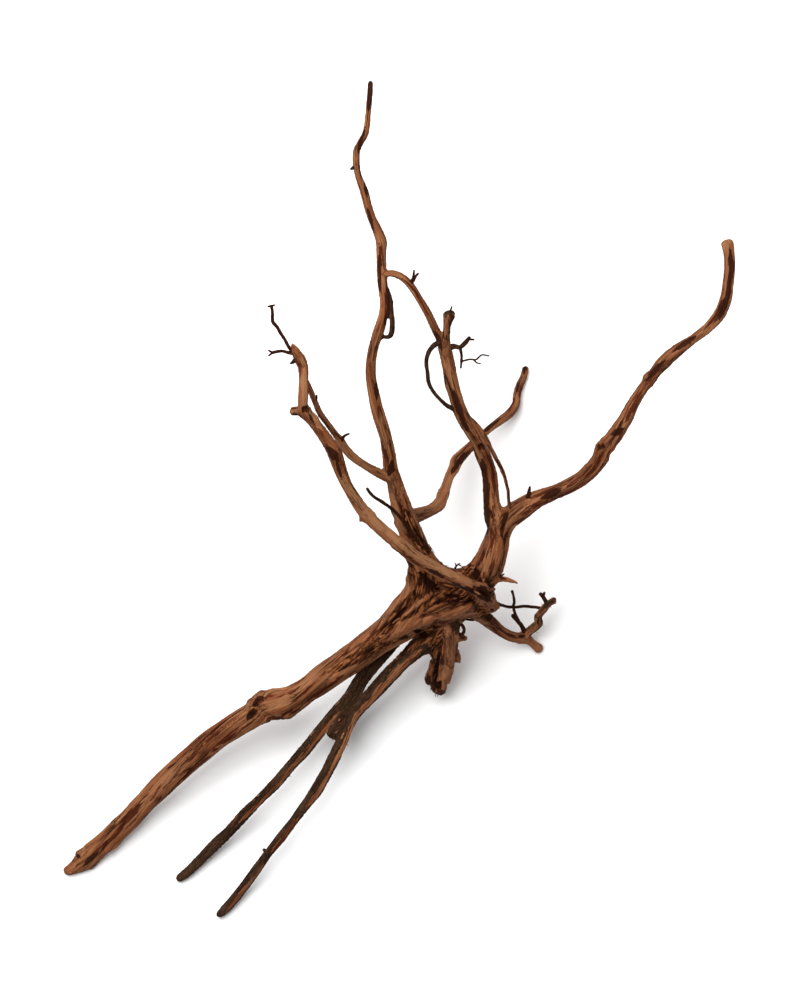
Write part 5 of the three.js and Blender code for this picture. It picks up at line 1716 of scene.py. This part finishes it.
@dataclass(frozen=True)
class WoodFinish:
    """The wood's colours and surface: peeled wood, red streaks, bark, stains and broken ends,
    with painted shade in crevices and hollows and on some shaded edges.
    """

    name: str = "driftwood_wood"
    light: Colour = (0.2875, 0.124, 0.0542, 1.0)
    tan: Colour = (0.2652, 0.1196, 0.0542, 1.0)
    deep: Colour = (0.1427, 0.0389, 0.0131, 1.0)
    red: Colour = (0.0587, 0.0105, 0.0032, 1.0)
    crack: Colour = (0.0168, 0.0037, 0.0016, 1.0)
    bark_light: Colour = (0.063, 0.0312, 0.016, 1.0)
    bark_dark: Colour = (0.0135, 0.0057, 0.0028, 1.0)
    torn_light: Colour = (0.26, 0.092, 0.033, 1.0)
    torn_dark: Colour = (0.034, 0.0082, 0.0027, 1.0)
    # Dark stains, also laid into hollows as painted shade.
    stain: Colour = (0.0319, 0.0087, 0.0037, 1.0)
    pale: Colour = (0.2965, 0.1359, 0.0618, 1.0)
    # Painted shade: the near-black laid into crevices, hollows and pits.
    shade_colour: Colour = (0.0135, 0.0034, 0.0014, 1.0)
    smoothest: float = 0.6
    roughest: float = 0.9
    shine: float = 0.035
    bump: float = 0.0007
    bump_strength: float = 0.9

    def material(self) -> bpy.types.Material:
        """Builds the finish.

        Returns:
            The material, which reads the masks that the pieces carry.
        """
        material = bpy.data.materials.new(self.name)
        material.use_nodes = True
        sheet = Sheet(material.node_tree)
        place = sheet.attribute("grain_place", "Vector")
        groups = [sheet.add("ShaderNodeGroup", node_tree=bpy.data.node_groups[p.value]) for p in Pattern]
        for group in groups:
            sheet.tree.links.new(place, group.inputs["Place"])
        grain, skin = (group.outputs for group in groups)
        bark, stain, red, pale, torn, crevice = (sheet.attribute(name) for name in MASKS)

        def crisp(mask: object, low: float = 0.72, high: float = 0.92) -> bpy.types.NodeSocket:
            """A mask with its soft edge made crisp and ragged along the grain."""
            total = sheet.add("ShaderNodeMath", {0: mask, 1: grain["Ragged"]}, operation="ADD").outputs[0]
            return sheet.ramp(total, low, high)

        wood = sheet.mix(grain["Tone"], self.deep, sheet.mix(grain["Hue"], self.light, self.tan))
        reddened = sheet.maths("ADD", grain["Streak"], sheet.maths("MULTIPLY", red, 0.16))
        plates = sheet.mix(skin["Tone"], self.bark_dark, self.bark_light)
        fibres = sheet.mix(sheet.ramp(grain["Ragged"], 0.44, 0.58), self.torn_dark, self.torn_light)
        layers = ((sheet.maths("MULTIPLY", sheet.ramp(reddened, 0.57, 0.628), 0.95), self.red),
                  (sheet.maths("MULTIPLY", crisp(pale), 0.7), self.pale),
                  (sheet.maths("MULTIPLY", grain["Crack"], 0.95), self.crack),
                  (crisp(bark, 0.8, 1.0), plates),
                  (crisp(torn), fibres),
                  # dark stains, with painted shade in hollows
                  (crisp(stain, 0.64, 1.06), self.stain),
                  # painted shade in crevices, hollows and pits
                  (sheet.maths("MULTIPLY", crevice, 0.88), self.shade_colour))
        for cover, colour in layers:
            wood = sheet.mix(cover, wood, colour)
        dull = sheet.maths("MAXIMUM", bark, sheet.maths("MAXIMUM", torn, crevice))
        roughness = sheet.add("ShaderNodeMix", {0: dull, 2: self.smoothest, 3: self.roughest},
                              data_type="FLOAT").outputs[0]
        height = sheet.add("ShaderNodeMix", {0: bark, 2: grain["Height"], 3: skin["Height"]},
                           data_type="FLOAT").outputs[0]
        bump = sheet.add("ShaderNodeBump", {"Strength": self.bump_strength, "Distance": self.bump,
                                            "Height": height})
        shader = sheet.add("ShaderNodeBsdfPrincipled", {"Base Color": wood, "Roughness": roughness,
                                                        "Specular IOR Level": self.shine,
                                                        "Normal": bump.outputs[0]})
        sheet.add("ShaderNodeOutputMaterial", {"Surface": shader.outputs[0]})
        return material


@dataclass(frozen=True)
class Studio:
    """A pale floor, an even pale surround, and one large soft light from the upper left."""

    floor_side: float = 8.0
    floor_colour: Colour = (0.95, 0.95, 0.95, 1.0)
    floor_roughness: float = 0.9
    floor_shine: float = 0.1
    surround: float = 0.4
    light_place: tuple[float, float, float] = (-1.0, 1.15, 3.0)
    light_side: float = 2.6
    light_watts: float = 185.0

    def build(self) -> None:
        """Makes the floor, the light and the surround."""
        half = self.floor_side / 2
        mesh = bpy.data.meshes.new("floor")
        corners = [(-half, -half, 0), (half, -half, 0), (half, half, 0), (-half, half, 0)]
        mesh.from_pydata(corners, [], [(0, 1, 2, 3)])
        floor = bpy.data.objects.new("floor", mesh)
        material = bpy.data.materials.new("floor")
        material.use_nodes = True
        shader = material.node_tree.nodes["Principled BSDF"]
        shader.inputs["Base Color"].default_value = self.floor_colour
        shader.inputs["Roughness"].default_value = self.floor_roughness
        shader.inputs["Specular IOR Level"].default_value = self.floor_shine
        mesh.materials.append(material)
        bpy.context.scene.collection.objects.link(floor)
        floor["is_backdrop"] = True
        lamp = bpy.data.lights.new("key", "AREA")
        lamp.energy = self.light_watts
        lamp.size = self.light_side
        key = bpy.data.objects.new("key", lamp)
        key.location = self.light_place
        x, y, z = self.light_place
        key.rotation_euler = (math.acos(z / math.hypot(x, y, z)), 0.0, math.atan2(y, x) + math.pi / 2)
        bpy.context.scene.collection.objects.link(key)
        world = bpy.data.worlds.new("surround")
        world.use_nodes = True
        background = world.node_tree.nodes["Background"]
        background.inputs["Color"].default_value = (1.0, 1.0, 1.0, 1.0)
        background.inputs["Strength"].default_value = self.surround
        bpy.context.scene.world = world
        bpy.context.scene.view_settings.view_transform = "Standard"


@dataclass(frozen=True)
class PhotoCamera:
    """The photograph's view: straight down from far above, which keeps high limbs in their places.

    The view height is the length of floor that the picture's height takes in, in metres.
    """

    height: float = 22.0
    aim: tuple[float, float] = (0.0005, 0.0002)
    sensor: float = 36.0
    view_height: float = 0.651
    clip: float = 100.0

    def build(self) -> None:
        """Makes the camera and makes it the scene's own."""
        lens = bpy.data.cameras.new("photo_view")
        lens.sensor_width = self.sensor
        lens.lens = self.sensor * self.height / self.view_height
        lens.clip_end = self.clip
        camera = bpy.data.objects.new("photo_view", lens)
        camera.location = (*self.aim, self.height)
        bpy.context.scene.collection.objects.link(camera)
        bpy.context.scene.camera = camera


def keep_inside(piece: bpy.types.Object, box: tuple[Array, Array]) -> None:
    """Keeps a piece's points inside a box.

    Args:
        piece: The piece.
        box: Lowest and highest corner in metres.
    """
    points, _ = WoodSkin.read(piece.data)
    low, high = (np.array(corner, dtype=float) / MM for corner in box)
    WoodSkin.write(piece.data, np.clip(points, low, high))


def main() -> None:
    """Loads the frame, builds and dresses every piece, and sets the stage."""
    logging.basicConfig(level=logging.INFO, format="%(name)s: %(message)s")
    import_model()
    cad_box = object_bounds()
    wood = WoodSkin()
    skin = wood.build()
    hairs, slivers = HairRoots().build(wood.paths)
    pieces = [skin, TwigSet().build(), hairs, slivers]
    WoodGrain().build()
    BarkSkin().build()
    finish = WoodFinish().material()
    for piece in pieces:
        keep_inside(piece, cad_box)
        piece.data.materials.append(finish)
        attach(piece, BODY)
        LOG.info("%s: %d faces", piece.name, len(piece.data.polygons))
    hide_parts(NODE)
    Studio().build()
    PhotoCamera().build()


if __name__ == "__main__":
    main()
